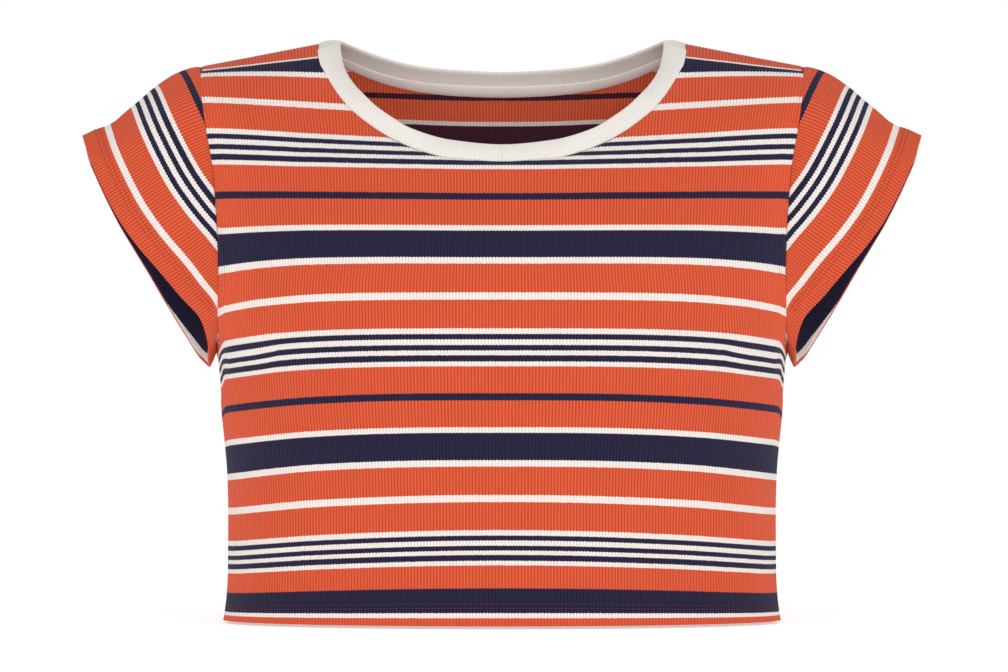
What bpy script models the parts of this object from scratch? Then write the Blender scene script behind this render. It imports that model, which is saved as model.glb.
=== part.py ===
# Crop top in rib knit, worn shape with no wearer: front, back, two cap sleeves, neckband, neck tape.
# Metres, +X to the right as seen from the front, the front faces -Y, +Z up.
# The origin is midway between the two neck points of the shoulders, where the top is held.

import math

import bmesh
import bpy
from mathutils import Vector

NAME = "crop_top"

# --- driving sizes -------------------------------------------------------------------------
CLOTH = 0.0012          # one layer of rib knit
TURNED_HEM = 0.0022     # two layers where a hem is turned up
NECKBAND = 0.0022       # the band is two layers
TAPE = 0.0010           # tape over the back neck seam
HEM_DEPTH = 0.0140
HEM_LEDGE = 0.0008      # run of cloth over which the turned edge ends
SEAM_SETBACK = 0.00015  # each piece stops this far short of a seam
TAPE_UP = 0.0040        # tape above the back neck seam
TAPE_DOWN = 0.0035      # tape below the back neck seam
TAPE_END = 1            # neck stations left bare next to each shoulder

PANEL_COLUMNS = 13      # from the middle of a panel to its edge
BODY_ROWS = 8           # from the turned hem to the underarm
CHEST_ROWS = 5          # from the underarm to the row that meets the neck
YOKE_ROWS = 12          # from that row to the shoulder seam
SLEEVE_ROWS = 5         # from the sleeve's turned hem to the armhole
BAND_ROWS = 3

# Courses of the knit, from the hem up to the shoulder seam. "edge" is the side seam up to the
# underarm and the armhole above it, "mid" is the middle of the panel (for the rows above the
# neck it is where the row would cross the middle), "turn" is how far round in degrees the row
# has swept when it meets its edge, "sag" is how late the row falls away towards its edge.
COURSES = (
    # name       edge_x  edge_z  f_edge_y f_mid_y f_mid_z f_turn b_edge_y b_mid_y b_mid_z b_turn sag
    ("hem",      0.1612, -0.3340, 0.000, -0.0785, -0.3338, 90.0, 0.000, 0.0760, -0.3340, 90.0, 2.0),
    ("hem top",  0.1602, -0.3250, 0.000, -0.0800, -0.3210, 90.0, 0.000, 0.0760, -0.3220, 90.0, 2.0),
    ("low",      0.1590, -0.3055, 0.000, -0.0815, -0.2985, 90.0, 0.000, 0.0750, -0.3000, 90.0, 2.0),
    ("waist",    0.1588, -0.2700, 0.000, -0.0825, -0.2620, 90.0, 0.000, 0.0730, -0.2640, 90.0, 2.2),
    ("ribs",     0.1594, -0.2480, 0.000, -0.0840, -0.2390, 90.0, 0.000, 0.0735, -0.2420, 90.0, 2.5),
    ("side",     0.1634, -0.2092, 0.000, -0.0865, -0.2010, 90.0, 0.000, 0.0775, -0.2040, 90.0, 2.8),
    ("underarm", 0.1650, -0.1786, 0.000, -0.0870, -0.1710, 90.0, 0.000, 0.0805, -0.1740, 90.0, 4.0),
    ("arm 1",    0.1642, -0.1700, -0.018, -0.0868, -0.1622, 78.0, 0.019, 0.0815, -0.1660, 78.0, 4.5),
    ("arm 2",    0.1639, -0.1544, -0.030, -0.0860, -0.1460, 71.0, 0.033, 0.0825, -0.1500, 71.0, 5.0),
    ("arm 3",    0.1631, -0.1293, -0.037, -0.0830, -0.1240, 65.0, 0.042, 0.0825, -0.1270, 65.0, 5.0),
    ("arm 4",    0.1636, -0.1088, -0.038, -0.0790, -0.1075, 60.0, 0.043, 0.0805, -0.1080, 60.0, 4.0),
    ("arm 5",    0.1648, -0.0885, -0.037, -0.0740, -0.0905, 55.0, 0.042, 0.0770, -0.0890, 55.0, 3.0),
    ("arm 6",    0.1666, -0.0698, -0.036, -0.0680, -0.0735, 50.0, 0.039, 0.0715, -0.0710, 50.0, 2.0),
    ("arm 7",    0.1709, -0.0465, -0.033, -0.0530, -0.0550, 42.0, 0.036, 0.0625, -0.0480, 45.0, 2.0),
    ("arm 8",    0.1732, -0.0293, -0.025, -0.0430, -0.0380, 38.0, 0.027, 0.0530, -0.0270, 40.0, 2.0),
    ("shoulder", 0.1747, -0.0128, 0.000,  0.0000,  0.0210, 34.0, 0.000, 0.0000,  0.0210, 34.0, 1.0),
)

# Sleeve hem, one row for each course from the underarm up: where the cloth that leaves the
# armhole at that course ends, for the front and for the back half of the sleeve.
SLEEVE_HEM = (
    # name       front_x  front_y  front_z  back_x  back_y  back_z
    ("underarm", 0.1694,  0.000, -0.1874, 0.1694, 0.000, -0.1874),
    ("arm 1",    0.1698, -0.013, -0.1745, 0.1752, 0.013, -0.1830),
    ("arm 2",    0.1728, -0.021, -0.1613, 0.1840, 0.023, -0.1705),
    ("arm 3",    0.1856, -0.027, -0.1458, 0.1975, 0.030, -0.1490),
    ("arm 4",    0.1975, -0.031, -0.1315, 0.2070, 0.033, -0.1330),
    ("arm 5",    0.2095, -0.032, -0.1175, 0.2165, 0.034, -0.1175),
    ("arm 6",    0.2200, -0.031, -0.1028, 0.2250, 0.033, -0.1030),
    ("arm 7",    0.2320, -0.026, -0.0802, 0.2360, 0.028, -0.0800),
    ("arm 8",    0.2378, -0.019, -0.0672, 0.2412, 0.020, -0.0665),
    ("shoulder", 0.2430,  0.000, -0.0534, 0.2430, 0.000, -0.0534),
)

# Line of the sleeve along its top, from the armhole to the hem: how far it stands off the
# straight line between the two, rounded over the shoulder and dipping before the hem.
SLEEVE_TOP_LINE = (
    # share of the way   rise
    (0.00,  0.0000),
    (0.10,  0.0028),
    (0.22,  0.0040),
    (0.36,  0.0032),
    (0.52,  0.0009),
    (0.66, -0.0010),
    (0.75, -0.0024),
    (0.82, -0.0021),
    (0.90, -0.0006),
    (1.00,  0.0000),
)
SLEEVE_ROUNDING = 0.0030  # how far the front and back of a sleeve stand off the straight line

# Neckline from the middle to the shoulder: the seam of the band on the panel, and its rim.
FRONT_NECK = (
    # name       seam_x  seam_z   rim_x   rim_y    rim_z
    ("middle",   0.0000, -0.0698, 0.0000, -0.0595, -0.0600),
    ("low",      0.0324, -0.0672, 0.0290, -0.0575, -0.0573),
    ("bend",     0.0558, -0.0601, 0.0522, -0.0535, -0.0505),
    ("rise 1",   0.0691, -0.0530, 0.0637, -0.0485, -0.0436),
    ("rise 2",   0.0789, -0.0459, 0.0725, -0.0430, -0.0371),
    ("rise 3",   0.0871, -0.0388, 0.0795, -0.0370, -0.0302),
    ("rise 4",   0.0930, -0.0317, 0.0842, -0.0300, -0.0251),
    ("rise 5",   0.0977, -0.0245, 0.0887, -0.0230, -0.0185),
    ("top 1",    0.1018, -0.0173, 0.0912, -0.0160, -0.0125),
    ("top 2",    0.1056, -0.0100, 0.0928, -0.0085, -0.0050),
    ("shoulder", 0.1067,  0.0003, 0.0937,  0.0000,  0.0020),
)
BACK_NECK = (
    # name       seam_x  seam_z   rim_x   rim_y    rim_z
    ("middle",   0.0000, -0.0250, 0.0000,  0.0465, -0.0140),
    ("low",      0.0256, -0.0242, 0.0247,  0.0448, -0.0130),
    ("bend 1",   0.0452, -0.0224, 0.0429,  0.0413, -0.0115),
    ("bend 2",   0.0608, -0.0196, 0.0569,  0.0369, -0.0093),
    ("rise 1",   0.0771, -0.0148, 0.0707,  0.0304, -0.0057),
    ("rise 2",   0.0938, -0.0075, 0.0844,  0.0200, -0.0011),
    ("shoulder", 0.1067,  0.0003, 0.0937,  0.0000,  0.0020),
)

# name, colour (linear), roughness
MATERIALS = {
    "rib_knit_orange": ((0.62, 0.105, 0.045), 0.85),
    "rib_knit_cream": ((0.86, 0.80, 0.74), 0.85),
    "neck_tape_cream": ((0.78, 0.70, 0.64), 0.80),
}


# --- curves through the tables -------------------------------------------------------------
def slopes(knots, values):
    """Slope at each knot for a curve that never swings past the values it passes through."""
    steps = []
    for i in range(len(knots) - 1):
        steps.append((values[i + 1] - values[i]) / (knots[i + 1] - knots[i]))
    out = [steps[0]]
    for before, after in zip(steps[:-1], steps[1:]):
        if before * after <= 0.0:
            out.append(0.0)
        else:
            out.append(2.0 * before * after / (before + after))
    out.append(steps[-1])
    return out


def along(knots, values, w):
    """Value at w on the smooth curve through the values at the knots."""
    w = min(max(w, knots[0]), knots[-1])
    i = 0
    while i < len(knots) - 2 and w > knots[i + 1]:
        i += 1
    grades = slopes(knots, values)
    span = knots[i + 1] - knots[i]
    s = (w - knots[i]) / span
    a = (1.0 + 2.0 * s) * (1.0 - s) ** 2 * values[i]
    b = s * (1.0 - s) ** 2 * span * grades[i]
    c = s * s * (3.0 - 2.0 * s) * values[i + 1]
    d = s * s * (s - 1.0) * span * grades[i + 1]
    return a + b + c + d


def course_knots():
    """Height of each course up the cloth, between its height at the middle and at the edge."""
    knots = [0.0]
    for low, high in zip(COURSES[:-1], COURSES[1:]):
        edge = Vector((high[1] - low[1], high[3] - low[3], high[2] - low[2])).length
        middle = Vector((0.0, high[4] - low[4], high[5] - low[5])).length
        knots.append(knots[-1] + 0.5 * (edge + middle))
    return knots


KNOTS = course_knots()
SHOULDER = KNOTS[-1]
UNDERARM_ROW = 6
UNDERARM = KNOTS[UNDERARM_ROW]


def over_shoulder(front_values, back_values):
    """Front values from the hem up, then back values from the shoulder down, as one line."""
    return list(front_values) + list(reversed(back_values[:-1]))


LOOP_KNOTS = over_shoulder(KNOTS, [2.0 * SHOULDER - k for k in KNOTS])
EDGE_X = over_shoulder([c[1] for c in COURSES], [c[1] for c in COURSES])
EDGE_Z = over_shoulder([c[2] for c in COURSES], [c[2] for c in COURSES])
EDGE_Y = over_shoulder([c[3] for c in COURSES], [c[7] for c in COURSES])
MID_Y = over_shoulder([c[4] for c in COURSES], [c[8] for c in COURSES])
MID_Z = over_shoulder([c[5] for c in COURSES], [c[9] for c in COURSES])
TURN = over_shoulder([c[6] for c in COURSES], [c[10] for c in COURSES])
SAG = over_shoulder([c[11] for c in COURSES], [c[11] for c in COURSES])


def loop_height(w, back):
    """Place along the line that runs up the front and down the back."""
    return 2.0 * SHOULDER - w if back else w


def body_point(t, w, back):
    """Outer face of a panel: t from -1 to 1 across it, w up it from the hem to the shoulder."""
    place = loop_height(w, back)
    edge_x = along(LOOP_KNOTS, EDGE_X, place)
    edge_y = along(LOOP_KNOTS, EDGE_Y, place)
    edge_z = along(LOOP_KNOTS, EDGE_Z, place)
    mid_y = along(LOOP_KNOTS, MID_Y, place)
    mid_z = along(LOOP_KNOTS, MID_Z, place)
    turn = math.radians(along(LOOP_KNOTS, TURN, place))
    sag = along(LOOP_KNOTS, SAG, place)
    across = math.sin(abs(t) * turn) / math.sin(turn)
    swell = (math.cos(abs(t) * turn) - math.cos(turn)) / (1.0 - math.cos(turn))
    x = math.copysign(edge_x * across, t)
    y = edge_y + (mid_y - edge_y) * swell
    z = mid_z + (edge_z - mid_z) * across ** sag
    return Vector((x, y, z))


def across_at(x, w, back):
    """The t at which a row is x away from the middle."""
    place = loop_height(w, back)
    turn = math.radians(along(LOOP_KNOTS, TURN, place))
    share = min(1.0, x / along(LOOP_KNOTS, EDGE_X, place))
    return math.asin(share * math.sin(turn)) / turn


def find_on_body(x, z, back):
    """The t and w of the point of a panel that is seen from the front at x and z."""
    low = UNDERARM
    high = SHOULDER
    for _ in range(40):
        w = 0.5 * (low + high)
        if body_point(across_at(x, w, back), w, back).z < z:
            low = w
        else:
            high = w
    return across_at(x, high, back), high


def table_path(rows, first, last):
    """Distance along the table's seam line at each row, and the columns first to last."""
    knots = [0.0]
    for a, b in zip(rows[:-1], rows[1:]):
        knots.append(knots[-1] + math.dist(a[1:4], b[1:4]))
    columns = [[row[i] for row in rows] for i in range(first, last + 1)]
    return knots, columns


def through_middle(values, sign):
    """Values from one shoulder to the other, from those between the middle and a shoulder."""
    return [sign * value for value in reversed(values[1:])] + list(values)


def neck_stations(back):
    """From the middle to the shoulder: (t, w) of the seam on the panel, and the rim point."""
    knots, columns = table_path(BACK_NECK if back else FRONT_NECK, 1, 5)
    # both halves make one line, so the neckline is smooth through the middle
    signs = (-1.0, 1.0, -1.0, 1.0, 1.0)
    columns = [through_middle(c, sign) for c, sign in zip(columns, signs)]
    whole = through_middle(knots, -1.0)
    stations = []
    for i in range(YOKE_ROWS + 1):
        place = knots[-1] * i / YOKE_ROWS
        seam_x, seam_z, rim_x, rim_y, rim_z = [along(whole, c, place) for c in columns]
        t, w = find_on_body(seam_x, seam_z, back)
        if i == YOKE_ROWS:
            w = SHOULDER
            t = across_at(seam_x, w, back)
        stations.append((t, w, Vector((rim_x, rim_y, rim_z))))
    return stations


def armhole_heights():
    """w of every row that ends on the armhole, evenly spaced along it from the underarm up."""
    fine = [UNDERARM + (SHOULDER - UNDERARM) * i / 400 for i in range(401)]
    run = [0.0]
    for a, b in zip(fine[:-1], fine[1:]):
        run.append(run[-1] + (body_point(1.0, b, False) - body_point(1.0, a, False)).length)
    heights = []
    count = CHEST_ROWS + YOKE_ROWS
    for i in range(count + 1):
        goal = run[-1] * i / count
        k = min(range(401), key=lambda j: abs(run[j] - goal))
        heights.append(fine[k])
    return heights


# --- surfaces: points and four-sided faces -------------------------------------------------
class Surface:
    """Outer face of one piece of cloth, with the thickness of the cloth at each point."""

    def __init__(self):
        self.points = []
        self.thick = []
        self.faces = []
        self.known = {}

    def add(self, point, thick):
        key = tuple(round(c, 7) for c in point)
        if key not in self.known:
            self.known[key] = len(self.points)
            self.points.append(point.copy())
            self.thick.append(thick)
        return self.known[key]

    def strip(self, lower, upper, flip):
        """Faces between two rows of point numbers of the same length."""
        for i in range(len(lower) - 1):
            corners = [lower[i], lower[i + 1], upper[i + 1], upper[i]]
            if flip:
                corners.reverse()
            self.faces.append(corners)


def panel_surface(back):
    """Front or back: full rows up to the neck, then two yokes between neck and armhole."""
    cloth = Surface()
    heights = armhole_heights()
    stations = neck_stations(back)
    neck_foot = stations[0][1]
    ends = [(0.0, 0.0, TURNED_HEM), (HEM_DEPTH, HEM_DEPTH, TURNED_HEM)]
    ends.append((HEM_DEPTH + HEM_LEDGE, HEM_DEPTH + HEM_LEDGE, CLOTH))
    for i in range(1, BODY_ROWS + 1):
        w = HEM_DEPTH + HEM_LEDGE + (UNDERARM - HEM_DEPTH - HEM_LEDGE) * i / BODY_ROWS
        ends.append((w, w, CLOTH))
    for i in range(1, CHEST_ROWS + 1):
        middle = UNDERARM + (neck_foot - UNDERARM) * i / CHEST_ROWS
        ends.append((heights[i], middle, CLOTH))
    spread = [i / PANEL_COLUMNS for i in range(-PANEL_COLUMNS, PANEL_COLUMNS + 1)]
    rows = []
    for edge_w, middle_w, thick in ends:
        row = []
        for t in spread:
            w = middle_w + (edge_w - middle_w) * abs(t)
            row.append(cloth.add(body_point(t, w, back), thick))
        rows.append(row)
    for lower, upper in zip(rows[:-1], rows[1:]):
        cloth.strip(lower, upper, back)
    for side in (-1, 1):
        before = None
        for j, (neck_t, neck_w, _) in enumerate(stations):
            edge_w = heights[CHEST_ROWS + j]
            row = []
            for i in range(PANEL_COLUMNS + 1):
                share = i / PANEL_COLUMNS
                t = neck_t + (1.0 - neck_t) * share
                w = neck_w + (edge_w - neck_w) * share
                row.append(cloth.add(body_point(side * t, w, back), CLOTH))
            if before:
                cloth.strip(before, row, (side < 0) != back)
            before = row
    return cloth


def sleeve_hem_point(w, back, side):
    """Where the cloth that leaves the armhole at w ends in the sleeve's hem."""
    knots = LOOP_KNOTS[UNDERARM_ROW:len(LOOP_KNOTS) - UNDERARM_ROW]
    place = loop_height(w, back)
    values = []
    for i in range(3):
        line = over_shoulder([r[1 + i] for r in SLEEVE_HEM], [r[4 + i] for r in SLEEVE_HEM])
        values.append(along(knots, line, place))
    return Vector((side * values[0], values[1], values[2]))


def sleeve_line(seam, hem, side, top_share, share):
    """Point of the sleeve that is share of the way from its armhole seam to its hem."""
    run = hem - seam
    heart = Vector((side * 0.190, 0.0, -0.105))
    out = seam.lerp(hem, 0.5) - heart
    out -= run * (out.dot(run) / run.length_squared)
    out.normalize()
    knots = [row[0] for row in SLEEVE_TOP_LINE]
    rise = along(knots, [row[1] for row in SLEEVE_TOP_LINE], share) * top_share
    rounding = SLEEVE_ROUNDING * math.sin(math.pi * share) * (1.0 - top_share)
    size = min(1.0, run.length / 0.050)
    return seam.lerp(hem, share) + out * (rise + rounding) * size ** 2


def sleeve_surface(side):
    """Tube between the armhole and the sleeve hem, one column for each row of the panels."""
    cloth = Surface()
    heights = armhole_heights()
    places = [(w, False) for w in heights] + [(w, True) for w in reversed(heights[1:-1])]
    columns = []
    for w, back in places:
        seam = body_point(float(side), w, back)
        hem = sleeve_hem_point(w, back, side)
        length = (hem - seam).length
        top_share = max(0.0, (w - UNDERARM) / (SHOULDER - UNDERARM)) ** 4
        turned = min(HEM_DEPTH, 0.55 * length)
        ledge = min(HEM_LEDGE, 0.10 * length)
        column = []
        for run, thick in ((0.0, TURNED_HEM), (turned, TURNED_HEM), (turned + ledge, CLOTH)):
            share = 1.0 - run / length
            column.append(cloth.add(sleeve_line(seam, hem, side, top_share, share), thick))
        rest = 1.0 - (turned + ledge) / length
        for i in range(1, SLEEVE_ROWS + 1):
            share = rest * (1.0 - i / SLEEVE_ROWS)
            column.append(cloth.add(sleeve_line(seam, hem, side, top_share, share), CLOTH))
        columns.append(column)
    for here, after in zip(columns, columns[1:] + columns[:1]):
        cloth.strip(here, after, side > 0)
    return cloth


def neck_ring():
    """Stations once round the neck: seam point and rim point."""
    ring = []
    for back in (False, True):
        stations = neck_stations(back)
        order = range(YOKE_ROWS + 1) if not back else range(YOKE_ROWS - 1, -1, -1)
        for i in order:
            t, w, rim = stations[i]
            ring.append((body_point(t, w, back), rim))
    mirrored = []
    for seam, rim in reversed(ring[1:-1]):
        mirrored.append((Vector((-seam.x, seam.y, seam.z)), Vector((-rim.x, rim.y, rim.z))))
    return ring + mirrored


def neckband_surface():
    """Band from the neck seam to its rim, a little rounded outwards."""
    cloth = Surface()
    columns = []
    for seam, rim in neck_ring():
        up = (rim - seam).normalized()
        outward = Vector((seam.x, seam.y + 0.006, 0.0)).normalized() + Vector((0.0, 0.0, 0.9))
        outward -= up * outward.dot(up)
        outward.normalize()
        column = []
        for i in range(BAND_ROWS + 1):
            share = i / BAND_ROWS
            rise = 0.0009 * math.sin(math.pi * share)
            column.append(cloth.add(seam.lerp(rim, share) + outward * rise, NECKBAND))
        columns.append(column)
    for here, after in zip(columns, columns[1:] + columns[:1]):
        cloth.strip(here, after, True)
    return cloth


def tape_surface():
    """Tape on the inside of the back neck, made from the points of the band and the back."""
    cloth = Surface()
    stations = neck_stations(True)
    last = YOKE_ROWS - TAPE_END
    order = [(i, -1) for i in range(last, 0, -1)] + [(i, 1) for i in range(0, last + 1)]
    columns = []
    for i, side in order:
        t, w, rim = stations[i]
        seam = body_point(side * t, w, True)
        rim = Vector((side * rim.x, rim.y, rim.z))
        up = (rim - seam).normalized()
        down = (body_point(side * t, w - 0.004, True) - seam).normalized()
        tangent = body_point(side * t + 0.01, w, True) - body_point(side * t - 0.01, w, True)
        tangent.normalize()
        band_in = tangent.cross(up).normalized()
        panel_in = down.cross(tangent).normalized()
        heart = Vector((0.0, 0.0, -0.100)) - seam
        if band_in.dot(heart) < 0.0:
            band_in.negate()
        if panel_in.dot(heart) < 0.0:
            panel_in.negate()
        seam_in = (band_in + panel_in).normalized()
        depth = NECKBAND + 0.0004
        top = seam + up * TAPE_UP + band_in * depth
        middle = seam + seam_in * (depth + 0.0002)
        foot = seam + down * TAPE_DOWN + panel_in * depth
        columns.append([cloth.add(p, TAPE) for p in (foot, middle, top)])
    for here, after in zip(columns[:-1], columns[1:]):
        cloth.strip(here, after, False)
    return cloth


# --- walls ---------------------------------------------------------------------------------
def face_normal(cloth, face):
    """Newell normal of one face."""
    total = Vector()
    for i, k in enumerate(face):
        total += cloth.points[k].cross(cloth.points[face[(i + 1) % len(face)]])
    return total


def point_normals(cloth):
    """Outward direction at each point, from the faces round it."""
    normals = [Vector() for _ in cloth.points]
    for face in cloth.faces:
        for k in face:
            normals[k] += face_normal(cloth, face)
    return [n.normalized() for n in normals]


def border_edges(cloth):
    """Edges that belong to one face only, with that face's normal."""
    edges = {}
    for face in cloth.faces:
        for i, a in enumerate(face):
            b = face[(i + 1) % len(face)]
            edges[(a, b)] = face
    border = []
    for (a, b), face in edges.items():
        if (b, a) not in edges:
            border.append((a, b, face_normal(cloth, face).normalized()))
    return border


def set_back(cloth, border):
    """Points with the whole border drawn in by the seam setback."""
    inward = {}
    for a, b, normal in border:
        side = normal.cross(cloth.points[b] - cloth.points[a]).normalized()
        inward.setdefault(a, []).append(side)
        inward.setdefault(b, []).append(side)
    moved = [p.copy() for p in cloth.points]
    for k, sides in inward.items():
        total = sides[0] + sides[1]
        moved[k] += total * (SEAM_SETBACK / max(0.6, 1.0 + sides[0].dot(sides[1])))
    return moved


def shared_directions(pieces):
    """Wall direction and length factor at each point, mitred where pieces meet in a seam."""
    own = {name: point_normals(cloth) for name, cloth in pieces.items()}
    meeting = {}
    for name, cloth in pieces.items():
        for k, point in enumerate(cloth.points):
            key = tuple(round(c, 6) for c in point)
            meeting.setdefault(key, []).append((name, k))
    walls = {name: [(n, 1.0) for n in own[name]] for name in pieces}
    for users in meeting.values():
        for name, k in users:
            mine = own[name][k]
            total = Vector()
            for other, j in users:
                if own[other][j].dot(mine) > 0.10:
                    total += own[other][j]
            total.normalize()
            walls[name][k] = (total, 1.0 / mine.dot(total))
    return walls


def wall_mesh(cloth, walls):
    """Closed body: outer face, inner face moved in by the thickness, and a rim round both."""
    border = border_edges(cloth)
    outer = set_back(cloth, border)
    inner = []
    for k, point in enumerate(outer):
        direction, factor = walls[k]
        inner.append(point - direction * cloth.thick[k] * factor)
    count = len(outer)
    faces = [list(face) for face in cloth.faces]
    faces += [[k + count for k in reversed(face)] for face in cloth.faces]
    faces += [[b, a, a + count, b + count] for a, b, _ in border]
    return outer + inner, faces


def put_in_scene(name, points, faces, material, collection):
    """Mesh object with its quads split into triangles."""
    mesh = bpy.data.meshes.new(name)
    mesh.from_pydata([tuple(p) for p in points], [], faces)
    mesh.materials.append(material)
    work = bmesh.new()
    work.from_mesh(mesh)
    bmesh.ops.triangulate(work, faces=work.faces[:])
    bmesh.ops.recalc_face_normals(work, faces=work.faces[:])
    work.to_mesh(mesh)
    work.free()
    thing = bpy.data.objects.new(name, mesh)
    collection.objects.link(thing)
    return thing


def make_material(name):
    """Plain cloth colour."""
    colour, roughness = MATERIALS[name]
    material = bpy.data.materials.new(name)
    material.use_nodes = True
    shader = material.node_tree.nodes["Principled BSDF"]
    shader.inputs["Base Color"].default_value = (colour[0], colour[1], colour[2], 1.0)
    shader.inputs["Roughness"].default_value = roughness
    shader.inputs["Metallic"].default_value = 0.0
    return material


def build():
    for thing in list(bpy.data.objects):
        bpy.data.objects.remove(thing, do_unlink=True)
    collection = bpy.data.collections.new(NAME)
    bpy.context.scene.collection.children.link(collection)
    materials = {name: make_material(name) for name in MATERIALS}
    pieces = {
        "front": panel_surface(False),
        "back": panel_surface(True),
        "sleeve_right": sleeve_surface(1),
        "sleeve_left": sleeve_surface(-1),
        "neckband": neckband_surface(),
    }
    walls = shared_directions(pieces)
    pieces["neck_tape"] = tape_surface()
    walls["neck_tape"] = [(n, 1.0) for n in point_normals(pieces["neck_tape"])]
    slots = {"neckband": "rib_knit_cream", "neck_tape": "neck_tape_cream"}
    for name, cloth in pieces.items():
        points, faces = wall_mesh(cloth, walls[name])
        slot = slots.get(name, "rib_knit_orange")
        put_in_scene(name, points, faces, materials[slot], collection)


build()
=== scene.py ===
# Crop top in striped rib knit, in the filled-out shape it is worn in: the cloth, its ribs,
# stripes, seams, hems, stitches and creases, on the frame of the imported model.
import math

import bpy
import numpy as np
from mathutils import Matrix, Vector


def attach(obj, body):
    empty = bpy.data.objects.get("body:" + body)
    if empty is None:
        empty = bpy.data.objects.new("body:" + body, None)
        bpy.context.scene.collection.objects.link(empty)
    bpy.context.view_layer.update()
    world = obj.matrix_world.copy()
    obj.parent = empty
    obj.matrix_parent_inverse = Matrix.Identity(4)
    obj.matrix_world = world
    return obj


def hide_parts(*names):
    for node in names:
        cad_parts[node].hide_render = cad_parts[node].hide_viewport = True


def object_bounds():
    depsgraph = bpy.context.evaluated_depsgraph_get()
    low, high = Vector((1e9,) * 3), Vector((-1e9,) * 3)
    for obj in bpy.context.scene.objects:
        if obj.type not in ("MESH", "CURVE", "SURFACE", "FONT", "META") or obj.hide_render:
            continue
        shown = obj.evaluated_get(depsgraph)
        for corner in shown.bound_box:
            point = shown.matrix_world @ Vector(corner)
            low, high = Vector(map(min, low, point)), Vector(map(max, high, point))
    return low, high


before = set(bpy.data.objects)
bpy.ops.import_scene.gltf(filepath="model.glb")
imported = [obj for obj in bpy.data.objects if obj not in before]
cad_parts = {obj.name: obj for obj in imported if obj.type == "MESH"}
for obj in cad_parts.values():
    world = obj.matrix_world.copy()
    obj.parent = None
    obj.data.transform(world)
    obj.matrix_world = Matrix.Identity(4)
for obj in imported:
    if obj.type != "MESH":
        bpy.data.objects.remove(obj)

cad_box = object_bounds()

# --- sizes, in metres ----------------------------------------------------------------------
CLOTH = 0.0012           # one layer of rib knit
HEM_CLOTH = 0.0022       # two layers where a hem is turned up
BAND_CLOTH = 0.0022      # the neckband, folded double
TAPE_CLOTH = 0.0008      # tape over the back neck seam
HEM_DEPTH = 0.0140       # depth of every turned hem
RIB_PITCH = 0.00193      # from one rib to the next
RIB_RELIEF = 0.00034     # depth of the furrow between two ribs
RIB_STEPS = 4            # columns of points to a rib
COURSE_PITCH = 0.0011    # from one row of stitches in a rib to the next
SLEEVE_ROWS = 36
HEM_STITCHES = (0.0104, 0.0128)    # the two rows of stitching above the hem's fold
SLEEVE_STITCHES = (0.0086, 0.0112)
STITCH_PITCH = 0.0030
STITCH_LENGTH = 0.86 * STITCH_PITCH
THREAD_WIDTH = 0.00052
THREAD_LIFT = 0.00005    # thread lies this far out of the cloth
FLOOR_BELOW_HEM = 0.0015

# Courses of the knit, from the hem up to the shoulder seam. "edge" is the side seam up to the
# underarm and the armhole above it, "mid" is the middle of the panel, "turn" is how far round
# in degrees the row has swept when it meets its edge, "sag" how late it falls to its edge.
COURSES = (
    # name       edge_x  edge_z  f_edge_y f_mid_y f_mid_z f_turn b_edge_y b_mid_y b_mid_z b_turn sag
    ("hem",      0.1612, -0.3340, 0.000, -0.0785, -0.3338, 90.0, 0.000, 0.0760, -0.3340, 90.0, 2.0),
    ("hem top",  0.1602, -0.3250, 0.000, -0.0800, -0.3210, 90.0, 0.000, 0.0760, -0.3220, 90.0, 2.0),
    ("low",      0.1590, -0.3055, 0.000, -0.0815, -0.2985, 90.0, 0.000, 0.0750, -0.3000, 90.0, 2.0),
    ("waist",    0.1588, -0.2700, 0.000, -0.0825, -0.2620, 90.0, 0.000, 0.0730, -0.2640, 90.0, 2.2),
    ("ribs",     0.1594, -0.2480, 0.000, -0.0840, -0.2390, 90.0, 0.000, 0.0735, -0.2420, 90.0, 2.5),
    ("side",     0.1634, -0.2092, 0.000, -0.0865, -0.2010, 90.0, 0.000, 0.0775, -0.2040, 90.0, 2.8),
    ("underarm", 0.1650, -0.1786, 0.000, -0.0870, -0.1710, 90.0, 0.000, 0.0805, -0.1740, 90.0, 4.0),
    ("arm 1",    0.1642, -0.1700, -0.018, -0.0868, -0.1622, 78.0, 0.019, 0.0815, -0.1660, 78.0, 4.5),
    ("arm 2",    0.1639, -0.1544, -0.030, -0.0860, -0.1460, 71.0, 0.033, 0.0825, -0.1500, 71.0, 5.0),
    ("arm 3",    0.1631, -0.1293, -0.037, -0.0830, -0.1240, 65.0, 0.042, 0.0825, -0.1270, 65.0, 5.0),
    ("arm 4",    0.1636, -0.1088, -0.038, -0.0790, -0.1075, 60.0, 0.043, 0.0805, -0.1080, 60.0, 4.0),
    ("arm 5",    0.1648, -0.0885, -0.037, -0.0740, -0.0905, 55.0, 0.042, 0.0770, -0.0890, 55.0, 3.0),
    ("arm 6",    0.1666, -0.0698, -0.036, -0.0680, -0.0735, 50.0, 0.039, 0.0715, -0.0710, 50.0, 2.0),
    ("arm 7",    0.1709, -0.0465, -0.033, -0.0530, -0.0550, 42.0, 0.036, 0.0625, -0.0480, 45.0, 2.0),
    ("arm 8",    0.1732, -0.0293, -0.025, -0.0430, -0.0380, 38.0, 0.027, 0.0530, -0.0270, 40.0, 2.0),
    ("shoulder", 0.1747, -0.0128, 0.000,  0.0000,  0.0210, 34.0, 0.000, 0.0000,  0.0210, 34.0, 1.0),
)
UNDERARM_ROW = 6
SETTLED_ROW = 10  # course from which the stripes of both panels are counted

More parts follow.
